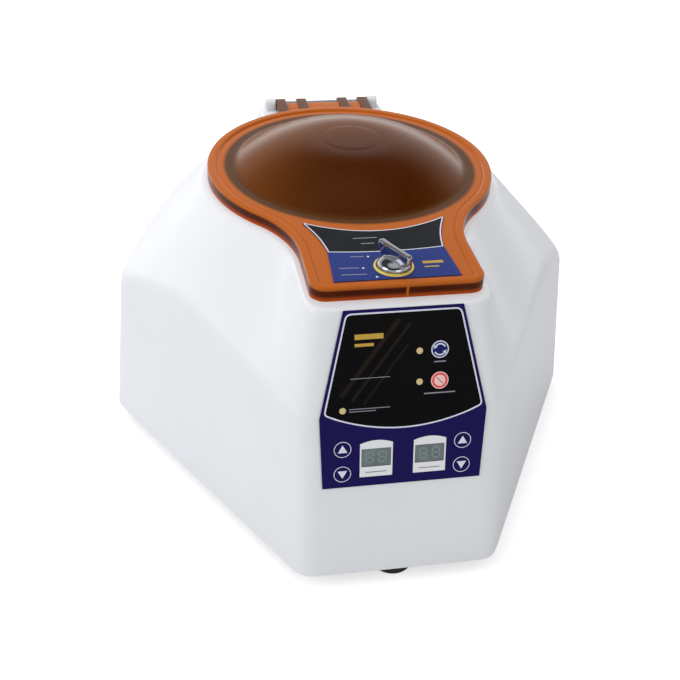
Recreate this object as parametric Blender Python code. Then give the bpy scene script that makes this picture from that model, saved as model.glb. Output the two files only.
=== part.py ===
"""Bench centrifuge for butterfat tests: white faceted housing, amber domed lid, six-place angle rotor.

Metres, +Z up. The origin is on the bench, at the middle of the footprint. Every piece hangs from one empty on
the rotor's axis, so the numbers below are measured from that axis: x to the right, y to the back, z from the bench.
"""

import math

import bmesh
import bpy
import numpy as np
from mathutils import Matrix, Vector

mm = 0.001

# Clearances
SEAT_GAP = 0.3 * mm  # between a piece and what it rests on or sits in
SLIDE_GAP = 0.3 * mm  # round each key, lamp and pin
CUT_OVER = 1.0 * mm  # how far a cutter runs past the wall it cuts

# Housing plan, a hexagon with soft corners: distances from the rotor axis to each wall at its foot
FOOT_HEIGHT = 12 * mm
FRONT_REACH = 226 * mm
FRONT_HALF_WIDTH = 65.5 * mm  # from the middle to where the front's foot would meet the side wall's
REAR_SIDE_REACH = 139.4 * mm
BACK_REACH = 150 * mm
SIDE_AZIMUTH = math.radians(-29.4)  # which way the front side wall faces
REAR_SIDE_AZIMUTH = math.radians(34.7)
FRONT_DRAFT = 0.2035  # how far each wall leans in, per unit of height
SIDE_DRAFT = 0.1087
REAR_SIDE_DRAFT = 0.02
BACK_DRAFT = 0.0644
CORNER_RADIUS = 14 * mm
WALL = 3.5 * mm
SIDE_REACH = FRONT_HALF_WIDTH * math.cos(SIDE_AZIMUTH) - FRONT_REACH * math.sin(SIDE_AZIMUTH)

# Housing heights
DECK_HEIGHT = 190.5 * mm
KINK_DROP = 65.5 * mm  # from the deck to where the front's two facets meet
KINK_HEIGHT = DECK_HEIGHT - KINK_DROP
PANEL_TOP_REACH = 181.4 * mm  # the front edge of the deck
RIDGE_DROP = 52.9 * mm  # from the deck to where the ridge from the lid's neck meets the side wall
RIDGE_HEIGHT = DECK_HEIGHT - RIDGE_DROP
RIDGE_ALONG = -66.4 * mm  # that point's place along the side wall
REAR_RIDGE_ALONG = 55 * mm
CONE_SLOPE = 1.08  # fall per unit of radius of the conical shoulder
BACK_CREASE_DROP = 58.5 * mm
BACK_CREASE_HEIGHT = DECK_HEIGHT - BACK_CREASE_DROP
CREASE_SOFTENING = 7 * mm
PANEL_SOFTENING = 5 * mm
DECK_SOFTENING = 4 * mm

# Lid outline, a round rim with a tongue at the front
LID_RADIUS = 104 * mm
TONGUE_HALF_WIDTH = 55.5 * mm
TONGUE_REACH = 171 * mm
TONGUE_CORNER = 10 * mm
NECK_RADIUS = 80 * mm
SKIRT_HEIGHT = 9.7 * mm
LID_WALL = 3 * mm
BEAD_WIDTH = 6 * mm
CHANNEL_DEPTH = 1.2 * mm
DOME_RADIUS = 84 * mm
DOME_RISE = 20 * mm
DOME_BOSS_RADIUS = 22 * mm
DOME_BOSS_RISE = 0.8 * mm

# Deck round the lid, and the hinge tab behind it
LEDGE = 4 * mm
TAB_HALF_WIDTH = 50 * mm
TAB_MARGIN = 11.2 * mm  # of the tab behind the hinge's axis
TAB_CORNER = 8 * mm
TAB_NECK_RADIUS = 12 * mm

# Hinge
HINGE_REACH = 127.3 * mm
TAB_REACH = HINGE_REACH + TAB_MARGIN
HINGE_RISE = 4.0 * mm  # pin axis above the deck
PIN_RADIUS = 1.7 * mm
LUG_RADIUS = 3.7 * mm
LUG_WIDTH = 8 * mm
LUG_CENTRES = (17 * mm, 34 * mm)
EAR_WIDTH = 8 * mm
EAR_RADIUS = 4.6 * mm
LID_OPEN_ANGLE = math.radians(95)

# Chamber
BOWL_RADIUS = 82.5 * mm
BOWL_WALL = 1.2 * mm
BOWL_DEPTH = 93.1 * mm  # from the deck to the underside of the bowl's floor
BOWL_FLOOR_HEIGHT = DECK_HEIGHT - BOWL_DEPTH
BOWL_CORNER = 14 * mm
BOWL_FLANGE_RADIUS = 92 * mm
OPENING_GAP = 1.3 * mm  # between the bowl's wall and the deck's edge
GASKET_INNER = 84.5 * mm
GASKET_WIDTH = 6.5 * mm
BOOT_HOLE_RADIUS = 20 * mm
BOOT_FOOT_RADIUS = 25 * mm
BOOT_FOOT_BORE = 16 * mm
BOOT_FOLD_RADIUS = 22 * mm
BOOT_FOLD_BORE = 14 * mm
BOOT_LIP_RADIUS = 24 * mm
BOOT_MOUTH = (7 * mm, 10 * mm)

# Drive
MOTOR_RADIUS = 44 * mm
MOTOR_DROP = 7.4 * mm  # from the bowl's floor to the motor's top
MOTOR_PLATE_RADIUS = 66 * mm
MOTOR_PLATE_THICKNESS = 3 * mm
ISOLATOR_RADIUS = 9 * mm
ISOLATOR_HEIGHT = 15 * mm
ISOLATOR_CIRCLE = 52 * mm
SHAFT_RADIUS = 4 * mm
SHAFT_CLEARANCE = 0.5 * mm

# Rotor
PLACES = 6
TUBE_ANGLE = math.radians(33)  # from the vertical
TUBE_TIP_REACH = 70 * mm
TUBE_TIP_RISE = 9.6 * mm  # from the bowl's floor
TUBE_TIP_HEIGHT = BOWL_FLOOR_HEIGHT + TUBE_TIP_RISE
TUBE_LENGTH = 82 * mm
TUBE_RADIUS = 9.5 * mm
TUBE_WALL = 1.2 * mm
TUBE_COLLAR_RADIUS = 11 * mm
TUBE_COLLAR = 2 * mm
HEAD_THICKNESS = 18 * mm  # of the rotor's cone, along the tubes
HEAD_RADIUS = 50 * mm
HUB_RADIUS = 13 * mm
HUB_RISE = 6.6 * mm  # from the bowl's floor
HUB_BOTTOM = BOWL_FLOOR_HEIGHT + HUB_RISE
NUT_RADIUS = 10 * mm
NUT_HEIGHT = 13 * mm
BORE_TWIST = 0.1  # turns each bore's sides away from the rotor's own, so no faces meet edge to edge

# Front panel: places are (across, along), along measured up the facet from the kink
LABEL_THICKNESS = 0.8 * mm
LABEL_TOP = 69 * mm
LABEL_BOTTOM = -49 * mm
LABEL_HALF_WIDTHS = (51.7 * mm, 53.7 * mm, 37.8 * mm)  # bottom, kink, top
KEY_RADIUS = 5.7 * mm
KEY_TRAVEL = 0.5 * mm
KEY_PROUD = 0.2 * mm
UPPER_KEYS = {"run_key": (22.8 * mm, 40.9 * mm), "stop_key": (22.8 * mm, 20.7 * mm)}
LOWER_KEYS = {
    "time_up_key": (-39 * mm, -21.6 * mm),
    "time_down_key": (-39 * mm, -39.2 * mm),
    "speed_up_key": (39 * mm, -21.6 * mm),
    "speed_down_key": (39 * mm, -39.2 * mm),
}
LAMP_RADIUS = 2.1 * mm
LAMPS = {"run_lamp": (9.9 * mm, 40.7 * mm), "stop_lamp": (9.9 * mm, 20.6 * mm), "lid_lamp": (-39 * mm, 5 * mm)}
DISPLAY_WIDTH = 19 * mm
DISPLAY_HEIGHT = 12.7 * mm
DISPLAY_ALONG = -28.9 * mm
DISPLAY_CENTRES = {"time_display": -17.2 * mm, "speed_display": 17.6 * mm}
DISPLAY_BACK_MARGIN = 3 * mm
BOARD_DEPTH = 8.3 * mm  # from the facet's outer face to the board
BOARD_THICKNESS = 1.6 * mm
STANDOFF_RADIUS = 3 * mm

# Latch
LATCH_REACH = 149.7 * mm
LATCH_SHAFT_RADIUS = 4 * mm
LATCH_REST_ANGLE = math.radians(118)  # where the bar handle points in the photograph
LATCH_TURN = math.radians(60)
KNOB_RADIUS = 11 * mm
KNOB_BASE_HEIGHT = 7 * mm
KNOB_HEIGHT = 13.5 * mm
BAR_LENGTH = 29 * mm
BAR_WIDTH = 4 * mm
RING_RADIUS = 13 * mm
RING_HEIGHT = 1.2 * mm
LID_LABEL_THICKNESS = 0.5 * mm
CAM_LENGTH = 22 * mm
CAM_WIDTH = 6 * mm
CAM_HEIGHT = 12 * mm
CAM_DROP = 4 * mm  # from the deck's top to the cam's top
SLOT_MARGIN = 2 * mm  # round the cam in the deck
STRIKE_MARGIN = 1.5 * mm  # round the cam in the strike plate
STRIKE_SIZE = (40 * mm, 22 * mm, 1.5 * mm)

# Lid interlock
SOLENOID_SIZE = (16 * mm, 28 * mm, 16 * mm)
SOLENOID_GAP = 13 * mm  # from the latch's axis to the solenoid's face
PLUNGER_RADIUS = 2 * mm
PLUNGER_ACROSS = 11 * mm
PLUNGER_STICKS_OUT = 4.8 * mm
PLUNGER_TRAVEL = 4 * mm
PLUNGER_BORE = 18 * mm

# Base
PLATE_THICKNESS = 1.6 * mm
PLATE_RECESS = 1 * mm
PLATE_MARGIN = 0.8 * mm
FRONT_FOOT_RADIUS = 14.2 * mm
FRONT_FOOT_INSET = 20 * mm  # from the front wall's foot to the foot's axis
FRONT_FOOT_REACH = FRONT_REACH - FRONT_FOOT_INSET
REAR_FOOT_RADIUS = 14 * mm
REAR_FOOT_PLACE = (72 * mm, 100 * mm)
SCREW_RADIUS = 1.7 * mm
SCREW_HEAD_RADIUS = 3.5 * mm
SCREW_HEAD_HEIGHT = 2 * mm
SCREW_LENGTH = 12 * mm
BOSS_RADIUS = 5.5 * mm
BOSS_HEIGHT = 24 * mm
BOSS_ALONG_SIDE = -95 * mm
BOSS_ALONG_REAR_SIDE = -5 * mm
VENT_COUNT = 5
VENT_LENGTH = 44 * mm
VENT_WIDTH = 4 * mm
VENT_PITCH = 10 * mm
VENT_REACH = -118 * mm

# Back
SOCKET_HEIGHT = 78 * mm
INLET_ACROSS = -28 * mm
INLET_FLANGE = (50 * mm, 36 * mm, 1.8 * mm)
INLET_BODY = (28 * mm, 30 * mm, 20 * mm)
INLET_RECESS = (22 * mm, 14.5 * mm, 14 * mm)
RECESS_UP = 5 * mm
FUSE_SIZE = (21 * mm, 6 * mm, 15 * mm)
FUSE_DOWN = 9 * mm
FUSE_PROUD = 0.8 * mm
FUSE_TRAVEL = 12 * mm
SWITCH_ACROSS = 36 * mm
SWITCH_FLANGE = (22 * mm, 30 * mm, 1.5 * mm)
SWITCH_BODY = (18 * mm, 26 * mm, 14 * mm)
ROCKER_SIZE = (13 * mm, 21 * mm)
ROCKER_TILT = math.radians(9)

# Everything is centred on its footprint, so the rotor's axis lies behind the middle
AXIS_Y = (FRONT_REACH - BACK_REACH) / 2

LID_BOTTOM = DECK_HEIGHT + SEAT_GAP
LID_TOP = LID_BOTTOM + SKIRT_HEIGHT
CHANNEL_TOP = LID_TOP - CHANNEL_DEPTH
PLATE_UNDERSIDE = CHANNEL_TOP - LID_WALL
HINGE_HEIGHT = DECK_HEIGHT + HINGE_RISE
PLATE_BOTTOM = FOOT_HEIGHT + PLATE_RECESS
PLATE_TOP = PLATE_BOTTOM + PLATE_THICKNESS
PIN_HOLE = PIN_RADIUS + SLIDE_GAP
LABEL_FACE = SEAT_GAP + LABEL_THICKNESS


def clear_scene():
    """Remove what the file held."""
    for thing in list(bpy.data.objects):
        bpy.data.objects.remove(thing, do_unlink=True)


def finish(name, colour, roughness, metallic=0.0, alpha=1.0):
    """A Principled material from an sRGB hex colour."""
    found = bpy.data.materials.get(name)
    if found:
        return found
    made = bpy.data.materials.new(name)
    made.use_nodes = True
    shader = made.node_tree.nodes["Principled BSDF"]
    channels = [int(colour[i : i + 2], 16) / 255 for i in (1, 3, 5)]
    linear = [c / 12.92 if c <= 0.04045 else ((c + 0.055) / 1.055) ** 2.4 for c in channels]
    shader.inputs["Base Color"].default_value = (*linear, 1)
    shader.inputs["Roughness"].default_value = roughness
    shader.inputs["Metallic"].default_value = metallic
    shader.inputs["Alpha"].default_value = alpha
    return made


def white_abs():
    return finish("white_abs", "#ECEDF0", 0.38)


def amber():
    return finish("amber_acrylic", "#C0662A", 0.22, alpha=0.75)


def black_rubber():
    return finish("black_rubber", "#151515", 0.75)


def steel():
    return finish("stainless_steel", "#B9BCC0", 0.3, 1.0)


def zinc():
    return finish("zinc_plate", "#A5A8A6", 0.42, 1.0)


def aluminium():
    return finish("cast_aluminium", "#B4B6B8", 0.4, 1.0)


def black_nylon():
    return finish("black_nylon", "#1B1B1D", 0.5)


def holder(name, parent, place=(0, 0, 0), turn=None):
    """An empty that pieces hang from."""
    empty = bpy.data.objects.new(name, None)
    empty.empty_display_size = 0.02
    bpy.context.scene.collection.objects.link(empty)
    empty.parent = parent
    empty.location = place
    if turn is not None:
        empty.rotation_euler = turn.to_euler()
    return empty


def piece(name, mesh, material, parent, place=(0, 0, 0), turn=None, smooth=True, skin=False):
    """An object from a bmesh, shaded smooth up to 35 degrees. A skin is open and already faces outward."""
    data = bpy.data.meshes.new(name)
    if not skin:
        bmesh.ops.recalc_face_normals(mesh, faces=mesh.faces)
    mesh.to_mesh(data)
    mesh.free()
    if smooth:
        data.shade_smooth()
        data.set_sharp_from_angle(angle=math.radians(35))
    thing = bpy.data.objects.new(name, data)
    bpy.context.scene.collection.objects.link(thing)
    if material:
        data.materials.append(material)
    thing.parent = parent
    thing.location = place
    if turn is not None:
        thing.rotation_euler = turn.to_euler()
    return thing


def tool(name, mesh, parent, place=(0, 0, 0), turn=None):
    """A hidden object that a Boolean reads."""
    thing = piece(name, mesh, None, parent, place, turn, smooth=False)
    thing.hide_render = True
    thing.display_type = "WIRE"
    return thing


def combine(thing, other, operation):
    """A live Boolean with another object."""
    modifier = thing.modifiers.new(f"{operation.lower()} {other.name}", "BOOLEAN")
    modifier.operation = operation
    modifier.object = other
    modifier.solver = "EXACT"


def soften_edges(thing, width, segments=2):
    """A live bevel on the sharp edges."""
    bevel = thing.modifiers.new("soft edges", "BEVEL")
    bevel.width = width
    bevel.segments = segments
    bevel.limit_method = "ANGLE"
    bevel.angle_limit = math.radians(40)


def add_box(mesh, centre, size):
    """A box in a bmesh, by its centre and its three sides."""
    scale = Matrix.Diagonal((*size, 1))
    bmesh.ops.create_cube(mesh, size=1, matrix=Matrix.Translation(centre) @ scale)


def add_rod(mesh, foot, head, radius, sides=24):
    """A closed cylinder in a bmesh between two points."""
    foot, head = Vector(foot), Vector(head)
    along = head - foot
    turn = along.to_track_quat("Z", "X").to_matrix().to_4x4()
    matrix = Matrix.Translation((foot + head) / 2) @ turn
    bmesh.ops.create_cone(
        mesh, cap_ends=True, segments=sides, radius1=radius, radius2=radius, depth=along.length, matrix=matrix
    )


def add_prism(mesh, outline, low, high, axis="Z"):
    """An outline in a bmesh, extruded from low to high along an axis."""
    order = {"Z": lambda a, b, c: (a, b, c), "X": lambda a, b, c: (c, a, b)}[axis]
    corners = [mesh.verts.new(order(a, b, low)) for a, b in outline]
    face = mesh.faces.new(corners)
    grown = bmesh.ops.extrude_face_region(mesh, geom=[face])["geom"]
    moved = [item for item in grown if isinstance(item, bmesh.types.BMVert)]
    bmesh.ops.translate(mesh, verts=moved, vec=Vector(order(0, 0, high - low)))


def add_turned(mesh, profile, sides, matrix):
    """A solid of revolution in a bmesh, from a closed profile of (radius, height) corners."""
    before = set(mesh.verts)
    corners = [mesh.verts.new((radius, 0, height)) for radius, height in profile]
    on_axis = [radius < 1e-9 for radius, height in profile]
    edges = []
    for i, start in enumerate(corners):
        j = (i + 1) % len(corners)
        if not (on_axis[i] and on_axis[j]):
            edges.append(mesh.edges.new((start, corners[j])))
    bmesh.ops.spin(
        mesh, geom=corners + edges, cent=(0, 0, 0), axis=(0, 0, 1), angle=2 * math.pi, steps=sides, use_merge=True
    )
    made = [corner for corner in mesh.verts if corner not in before]
    bmesh.ops.remove_doubles(mesh, verts=made, dist=1e-6)
    made = [corner for corner in mesh.verts if corner not in before]
    bmesh.ops.transform(mesh, verts=made, matrix=matrix)


def turned(profile, sides):
    """A solid of revolution about Z."""
    mesh = bmesh.new()
    add_turned(mesh, profile, sides, Matrix.Identity(4))
    return mesh


def lofted(rows, closed_ends=True):
    """Quads between rings of equal count. Each ring is an array of points, counter-clockwise from above."""
    mesh = bmesh.new()
    rings = [[mesh.verts.new(point) for point in ring] for ring in rows]
    count = len(rings[0])
    for low, high in zip(rings, rings[1:]):
        for i in range(count):
            j = (i + 1) % count
            mesh.faces.new((low[i], low[j], high[j], high[i]))
    if closed_ends:
        mesh.faces.new(rings[0][::-1])
        mesh.faces.new(rings[-1])
    return mesh


def arc(centre, radius, start, end, steps):
    """Points on an arc, both ends included."""
    angles = np.linspace(start, end, steps + 1)
    return [(centre[0] + radius * math.cos(a), centre[1] + radius * math.sin(a)) for a in angles]


def rounded_rectangle(width, height, radius, steps=3):
    """A centred outline with round corners."""
    x, y = width / 2 - radius, height / 2 - radius
    outline = []
    for quarter, (cx, cy) in enumerate(((x, y), (-x, y), (-x, -y), (x, -y))):
        outline += arc((cx, cy), radius, quarter * math.pi / 2, (quarter + 1) * math.pi / 2, steps)
    return outline


# Housing plan

FRONT, SIDE, REAR_SIDE, BACK = range(4)
WALLS = (
    (-math.pi / 2, FRONT_REACH, FRONT_DRAFT),
    (SIDE_AZIMUTH, SIDE_REACH, SIDE_DRAFT),
    (REAR_SIDE_AZIMUTH, REAR_SIDE_REACH, REAR_SIDE_DRAFT),
    (math.pi / 2, BACK_REACH, BACK_DRAFT),
)


def wall_reach(wall, height, inset=0.0):
    """Distance from the rotor axis to a wall's plane at a height."""
    azimuth, reach, draft = WALLS[wall]
    return reach - draft * (height - FOOT_HEIGHT) - inset


def wall_meet(first, second, height, inset=0.0):
    """Where two walls' outer faces would meet in plan at a height."""
    rows = [(math.cos(WALLS[w][0]), math.sin(WALLS[w][0])) for w in (first, second)]
    reaches = [wall_reach(w, height, inset) for w in (first, second)]
    return np.linalg.solve(np.array(rows), np.array(reaches))


def corner_point(first, second, fraction, height, inset=0.0):
    """A point on the round corner between two walls, 0 at the first wall and 1 at the second."""
    radius = CORNER_RADIUS - inset
    start, end = WALLS[first][0], WALLS[second][0]
    middle, half = (start + end) / 2, (end - start) / 2
    corner = wall_meet(first, second, height, inset)
    centre = corner - radius / math.cos(half) * np.array((math.cos(middle), math.sin(middle)))
    angle = start + fraction * (end - start)
    return centre + radius * np.array((math.cos(angle), math.sin(angle)))


def along_wall(wall, along, height, inset=0.0):
    """A point on a wall by its distance along it."""
    azimuth = WALLS[wall][0]
    outward = np.array((math.cos(azimuth), math.sin(azimuth)))
    forward = np.array((-math.sin(azimuth), math.cos(azimuth)))
    return outward * wall_reach(wall, height, inset) + forward * along


def between(start, end):
    """A function of a fraction and a height that runs straight from one moving point to another."""
    return lambda f, z, inset=0.0: (1 - f) * start(z, inset) + f * end(z, inset)


def round_corner(first, second):
    return lambda f, z, inset=0.0: corner_point(first, second, f, z, inset)


def front_centre(z, inset=0.0):
    return np.array((0.0, -wall_reach(FRONT, z, inset)))


def back_centre(z, inset=0.0):
    return np.array((0.0, wall_reach(BACK, z, inset)))


def corner_end(first, second, fraction):
    return lambda z, inset=0.0: corner_point(first, second, fraction, z, inset)


def ridge_foot(z, inset=0.0):
    return along_wall(SIDE, RIDGE_ALONG, z, inset)


def rear_ridge_foot(z, inset=0.0):
    return along_wall(REAR_SIDE, REAR_RIDGE_ALONG, z, inset)


# The right half of the wall from the middle of the front to the middle of the back
WALL_SPANS = {
    "front": between(front_centre, corner_end(FRONT, SIDE, 0)),
    "front corner": round_corner(FRONT, SIDE),
    "cheek": between(corner_end(FRONT, SIDE, 1), ridge_foot),
    "shoulder": between(ridge_foot, corner_end(SIDE, REAR_SIDE, 0)),
    "widest corner": round_corner(SIDE, REAR_SIDE),
    "rear shoulder": between(corner_end(SIDE, REAR_SIDE, 1), rear_ridge_foot),
    "rear cheek": between(rear_ridge_foot, corner_end(REAR_SIDE, BACK, 0)),
    "back corner": round_corner(REAR_SIDE, BACK),
    "back": between(corner_end(REAR_SIDE, BACK, 1), back_centre),
}


def neck_centre(grow):
    """Centre of the round neck between the rim and the tongue, and the azimuth where it meets the rim."""
    across = TONGUE_HALF_WIDTH + grow + NECK_RADIUS - grow
    along = -math.sqrt((LID_RADIUS + NECK_RADIUS) ** 2 - across**2)
    return (across, along), math.atan2(along, across)


def tab_centre():
    """The same for the deck's neck between the rim and the hinge tab."""
    across = TAB_HALF_WIDTH + TAB_NECK_RADIUS
    along = math.sqrt((LID_RADIUS + LEDGE + TAB_NECK_RADIUS) ** 2 - across**2)
    return (across, along), math.atan2(along, across)


def front_of_keyhole(grow, reach, counts):
    """Right half of the tongue and neck, as spans of points from the front's middle to the rim."""
    centre, azimuth = neck_centre(grow)
    half, corner = TONGUE_HALF_WIDTH + grow, TONGUE_CORNER + grow
    spans = {
        "front": [(f * (half - corner), -reach) for f in np.linspace(0, 1, counts["front"] + 1)],
        "front corner": arc((half - corner, corner - reach), corner, -math.pi / 2, 0, counts["front corner"]),
        "tongue side": [(half, y) for y in np.linspace(corner - reach, centre[1], counts["tongue side"] + 1)],
        "neck": arc(centre, NECK_RADIUS - grow, math.pi, math.pi + azimuth, counts["neck"]),
    }
    return spans, azimuth


HOUSING_COUNTS = {
    "front": 2,
    "front corner": 3,
    "tongue side": 2,
    "neck": 4,
    "shoulder": 6,
    "widest corner": 3,
    "rear shoulder": 6,
    "tab neck": 2,
    "tab side": 1,
    "back corner": 3,
    "back": 1,
}


def housing_columns():
    """One column for each place round the right half: its wall function, fraction, crease rule and deck point."""
    counts = HOUSING_COUNTS
    top, azimuth = front_of_keyhole(LEDGE, PANEL_TOP_REACH, counts)
    centre, tab_azimuth = tab_centre()
    radius = LID_RADIUS + LEDGE
    widest = 0.05
    top["shoulder"] = arc((0, 0), radius, azimuth, -widest, counts["shoulder"])
    top["widest corner"] = arc((0, 0), radius, -widest, widest, counts["widest corner"])
    top["rear shoulder"] = arc((0, 0), radius, widest, tab_azimuth, counts["rear shoulder"])
    top["tab neck"] = arc(centre, TAB_NECK_RADIUS, math.pi + tab_azimuth, math.pi, counts["tab neck"])
    straight = np.linspace(centre[1], TAB_REACH - TAB_CORNER, counts["tab side"] + 1)
    top["tab side"] = [(TAB_HALF_WIDTH, y) for y in straight]
    tab_corner = (TAB_HALF_WIDTH - TAB_CORNER, TAB_REACH - TAB_CORNER)
    top["back corner"] = arc(tab_corner, TAB_CORNER, 0, math.pi / 2, counts["back corner"])
    top["back"] = [(x, TAB_REACH) for x in np.linspace(tab_corner[0], 0, counts["back"] + 1)]
    shared = {
        "tongue side": ("cheek", 0.0, 0.42),
        "neck": ("cheek", 0.42, 1.0),
        "tab neck": ("rear cheek", 0.0, 0.4),
        "tab side": ("rear cheek", 0.4, 1.0),
    }
    columns = []
    for span, points in top.items():
        wall, low, high = shared.get(span, (span, 0.0, 1.0))
        last = len(points) - 1
        for i, point in enumerate(points[: None if span == "back" else -1]):
            columns.append((wall, low + (high - low) * i / last, point))
    return columns


def cone_height(place, slope):
    return DECK_HEIGHT - slope * (math.hypot(*place) - LID_RADIUS - LEDGE)


def crease_point(wall, fraction):
    """Where a column's wall ends: on the front's kink, on the cheek's edge or on the conical shoulder."""
    spot = WALL_SPANS[wall]
    if wall in ("front", "front corner"):
        height = KINK_HEIGHT
    elif wall == "cheek":
        height = KINK_HEIGHT + fraction * (RIDGE_HEIGHT - KINK_HEIGHT)
    elif wall in ("back corner", "back"):
        height = BACK_CREASE_HEIGHT
    else:
        ridge = ridge_foot(RIDGE_HEIGHT)
        ridge_slope = (DECK_HEIGHT - RIDGE_HEIGHT) / (math.hypot(*ridge) - LID_RADIUS - LEDGE)
        blend = min(1.0, fraction / 0.7) if wall == "shoulder" else 1.0
        slope = ridge_slope + blend * (CONE_SLOPE - ridge_slope)
        start = RIDGE_HEIGHT
        for _ in range(12):
            start = cone_height(spot(fraction if wall != "rear cheek" else 0.0, start), slope)
        height = start
        if wall == "rear cheek":
            height += fraction * (BACK_CREASE_HEIGHT - start)
    x, y = spot(fraction, height)
    return np.array((x, y, height))


def softened(before, corner, after, reach, steps):
    """A corner of a polyline replaced by a quadratic curve that starts and ends reach away from it."""
    start = corner + (before - corner) / np.linalg.norm(before - corner) * reach
    end = corner + (after - corner) / np.linalg.norm(after - corner) * reach
    curve = []
    for f in np.linspace(0, 1, steps + 1):
        curve.append((1 - f) ** 2 * start + 2 * f * (1 - f) * corner + f**2 * end)
    return curve


def crease_softening(wall, fraction):
    if wall in ("front", "front corner"):
        return PANEL_SOFTENING
    if wall == "cheek":
        return PANEL_SOFTENING + fraction * (CREASE_SOFTENING - PANEL_SOFTENING)
    return CREASE_SOFTENING


def mirrored_ring(half):
    """A whole ring from its right half, whose first and last points lie on the middle plane."""
    left = [point * np.array((-1, 1, 1)) for point in half[-2:0:-1]]
    return half + left


def housing_skin():
    """The shell's outer face: each column runs up the wall, over the crease, up the slope and on to the deck."""
    columns = []
    opening = BOWL_RADIUS + BOWL_WALL + OPENING_GAP
    for wall, fraction, deck_place in housing_columns():
        foot = np.array((*WALL_SPANS[wall](fraction, FOOT_HEIGHT), FOOT_HEIGHT))
        crease = crease_point(wall, fraction)
        edge = np.array((*deck_place, DECK_HEIGHT))
        inward = opening / math.hypot(*deck_place)
        mouth = np.array((deck_place[0] * inward, deck_place[1] * inward, DECK_HEIGHT))
        column = [foot]
        column += softened(foot, crease, edge, crease_softening(wall, fraction), 2)
        column += softened(crease, edge, mouth, DECK_SOFTENING, 2)
        column.append(mouth)
        columns.append(column)
    rows = [mirrored_ring([column[i] for column in columns]) for i in range(len(columns[0]))]
    return lofted(rows, closed_ends=False)


def panel_frame(parent, name, upper):
    """An empty at the kink of the front: x across, y up the facet, z out of it."""
    reach = wall_reach(FRONT, KINK_HEIGHT)
    if upper:
        rise, run = DECK_HEIGHT - KINK_HEIGHT, reach - PANEL_TOP_REACH
    else:
        rise, run = 1.0, FRONT_DRAFT
    lean = math.atan2(run, rise)
    turn = Matrix.Rotation(math.pi / 2 - lean, 3, "X")
    return holder(name, parent, (0, -reach, KINK_HEIGHT), turn)


def base_boss_places():
    """Where the base screws stand, clear of the leaning wall at the top of each boss."""
    inset = WALL + BOSS_RADIUS - 2 * mm
    top = PLATE_TOP + BOSS_HEIGHT
    spots = [
        along_wall(SIDE, BOSS_ALONG_SIDE, top, inset),
        along_wall(REAR_SIDE, BOSS_ALONG_REAR_SIDE, top, inset),
    ]
    return {
        "front_right": (spots[0][0], spots[0][1]),
        "front_left": (-spots[0][0], spots[0][1]),
        "rear_right": (spots[1][0], spots[1][1]),
        "rear_left": (-spots[1][0], spots[1][1]),
    }


def standoff_places(half_width, low, high):
    return [(x, y) for x in (-half_width, half_width) for y in (low, high)]


UPPER_BOARD = (45 * mm, 1 * mm, 50 * mm)  # half width, lower and upper edge along the facet
LOWER_BOARD = (46 * mm, -47.5 * mm, -10.5 * mm)
UPPER_STANDOFFS = (40 * mm, 14 * mm, 46 * mm)
LOWER_STANDOFFS = (27 * mm, -43.5 * mm, -14.5 * mm)


def ear_outline():
    """An ear's side view: a post with a round head on the pin's axis."""
    sunk = DECK_HEIGHT - WALL / 2
    head = arc((HINGE_REACH, HINGE_HEIGHT), EAR_RADIUS, 0, math.pi, 8)
    return [(HINGE_REACH - EAR_RADIUS, sunk), (HINGE_REACH + EAR_RADIUS, sunk)] + head


def ear_centre():
    return LUG_CENTRES[1] + LUG_WIDTH / 2 + SLIDE_GAP + EAR_WIDTH / 2


def make_housing(parent, upper, lower, rear):
    """White shell: six drafted walls, a conical shoulder, a flat deck and everything moulded to its inside."""
    housing = piece("housing", housing_skin(), white_abs(), parent, skin=True)
    shell = housing.modifiers.new("wall", "SOLIDIFY")
    shell.thickness = WALL
    shell.offset = -1
    shell.use_even_offset = True

    ears = bmesh.new()
    for side in (-1, 1):
        middle = side * ear_centre()
        add_prism(ears, ear_outline(), middle - EAR_WIDTH / 2, middle + EAR_WIDTH / 2, axis="X")
    combine(housing, tool("ears_shape", ears, parent), "UNION")

    bosses = bmesh.new()
    for x, y in base_boss_places().values():
        add_rod(bosses, (x, y, PLATE_TOP + SEAT_GAP), (x, y, PLATE_TOP + BOSS_HEIGHT), BOSS_RADIUS, 12)
    combine(housing, tool("bosses_shape", bosses, parent), "UNION")

    for name, frame, places in (
        ("upper_standoffs_shape", upper, UPPER_STANDOFFS),
        ("lower_standoffs_shape", lower, LOWER_STANDOFFS),
    ):
        standoffs = bmesh.new()
        for x, y in standoff_places(*places):
            back = -BOARD_DEPTH + SEAT_GAP
            add_rod(standoffs, (x, y, back), (x, y, -WALL / 2), STANDOFF_RADIUS, 8)
        combine(housing, tool(name, standoffs, frame), "UNION")

    cuts = bmesh.new()
    reach = ear_centre() + EAR_WIDTH / 2 + CUT_OVER
    add_rod(cuts, (-reach, HINGE_REACH, HINGE_HEIGHT), (reach, HINGE_REACH, HINGE_HEIGHT), PIN_HOLE, 16)
    slot = [(CAM_LENGTH + 2 * SLOT_MARGIN), (CAM_WIDTH + 2 * SLOT_MARGIN)]
    outline = [(x, y - LATCH_REACH) for x, y in rounded_rectangle(*slot, 2 * mm)]
    add_prism(cuts, outline, DECK_HEIGHT - WALL - CUT_OVER, DECK_HEIGHT + CUT_OVER)
    for x, y in base_boss_places().values():
        hole_top = PLATE_TOP + SCREW_LENGTH
        add_rod(cuts, (x, y, PLATE_TOP - CUT_OVER), (x, y, hole_top), SCREW_RADIUS + SLIDE_GAP, 12)
    combine(housing, tool("housing_cuts", cuts, parent), "DIFFERENCE")
    combine(housing, rear_cuts(rear), "DIFFERENCE")
    return housing


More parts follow.
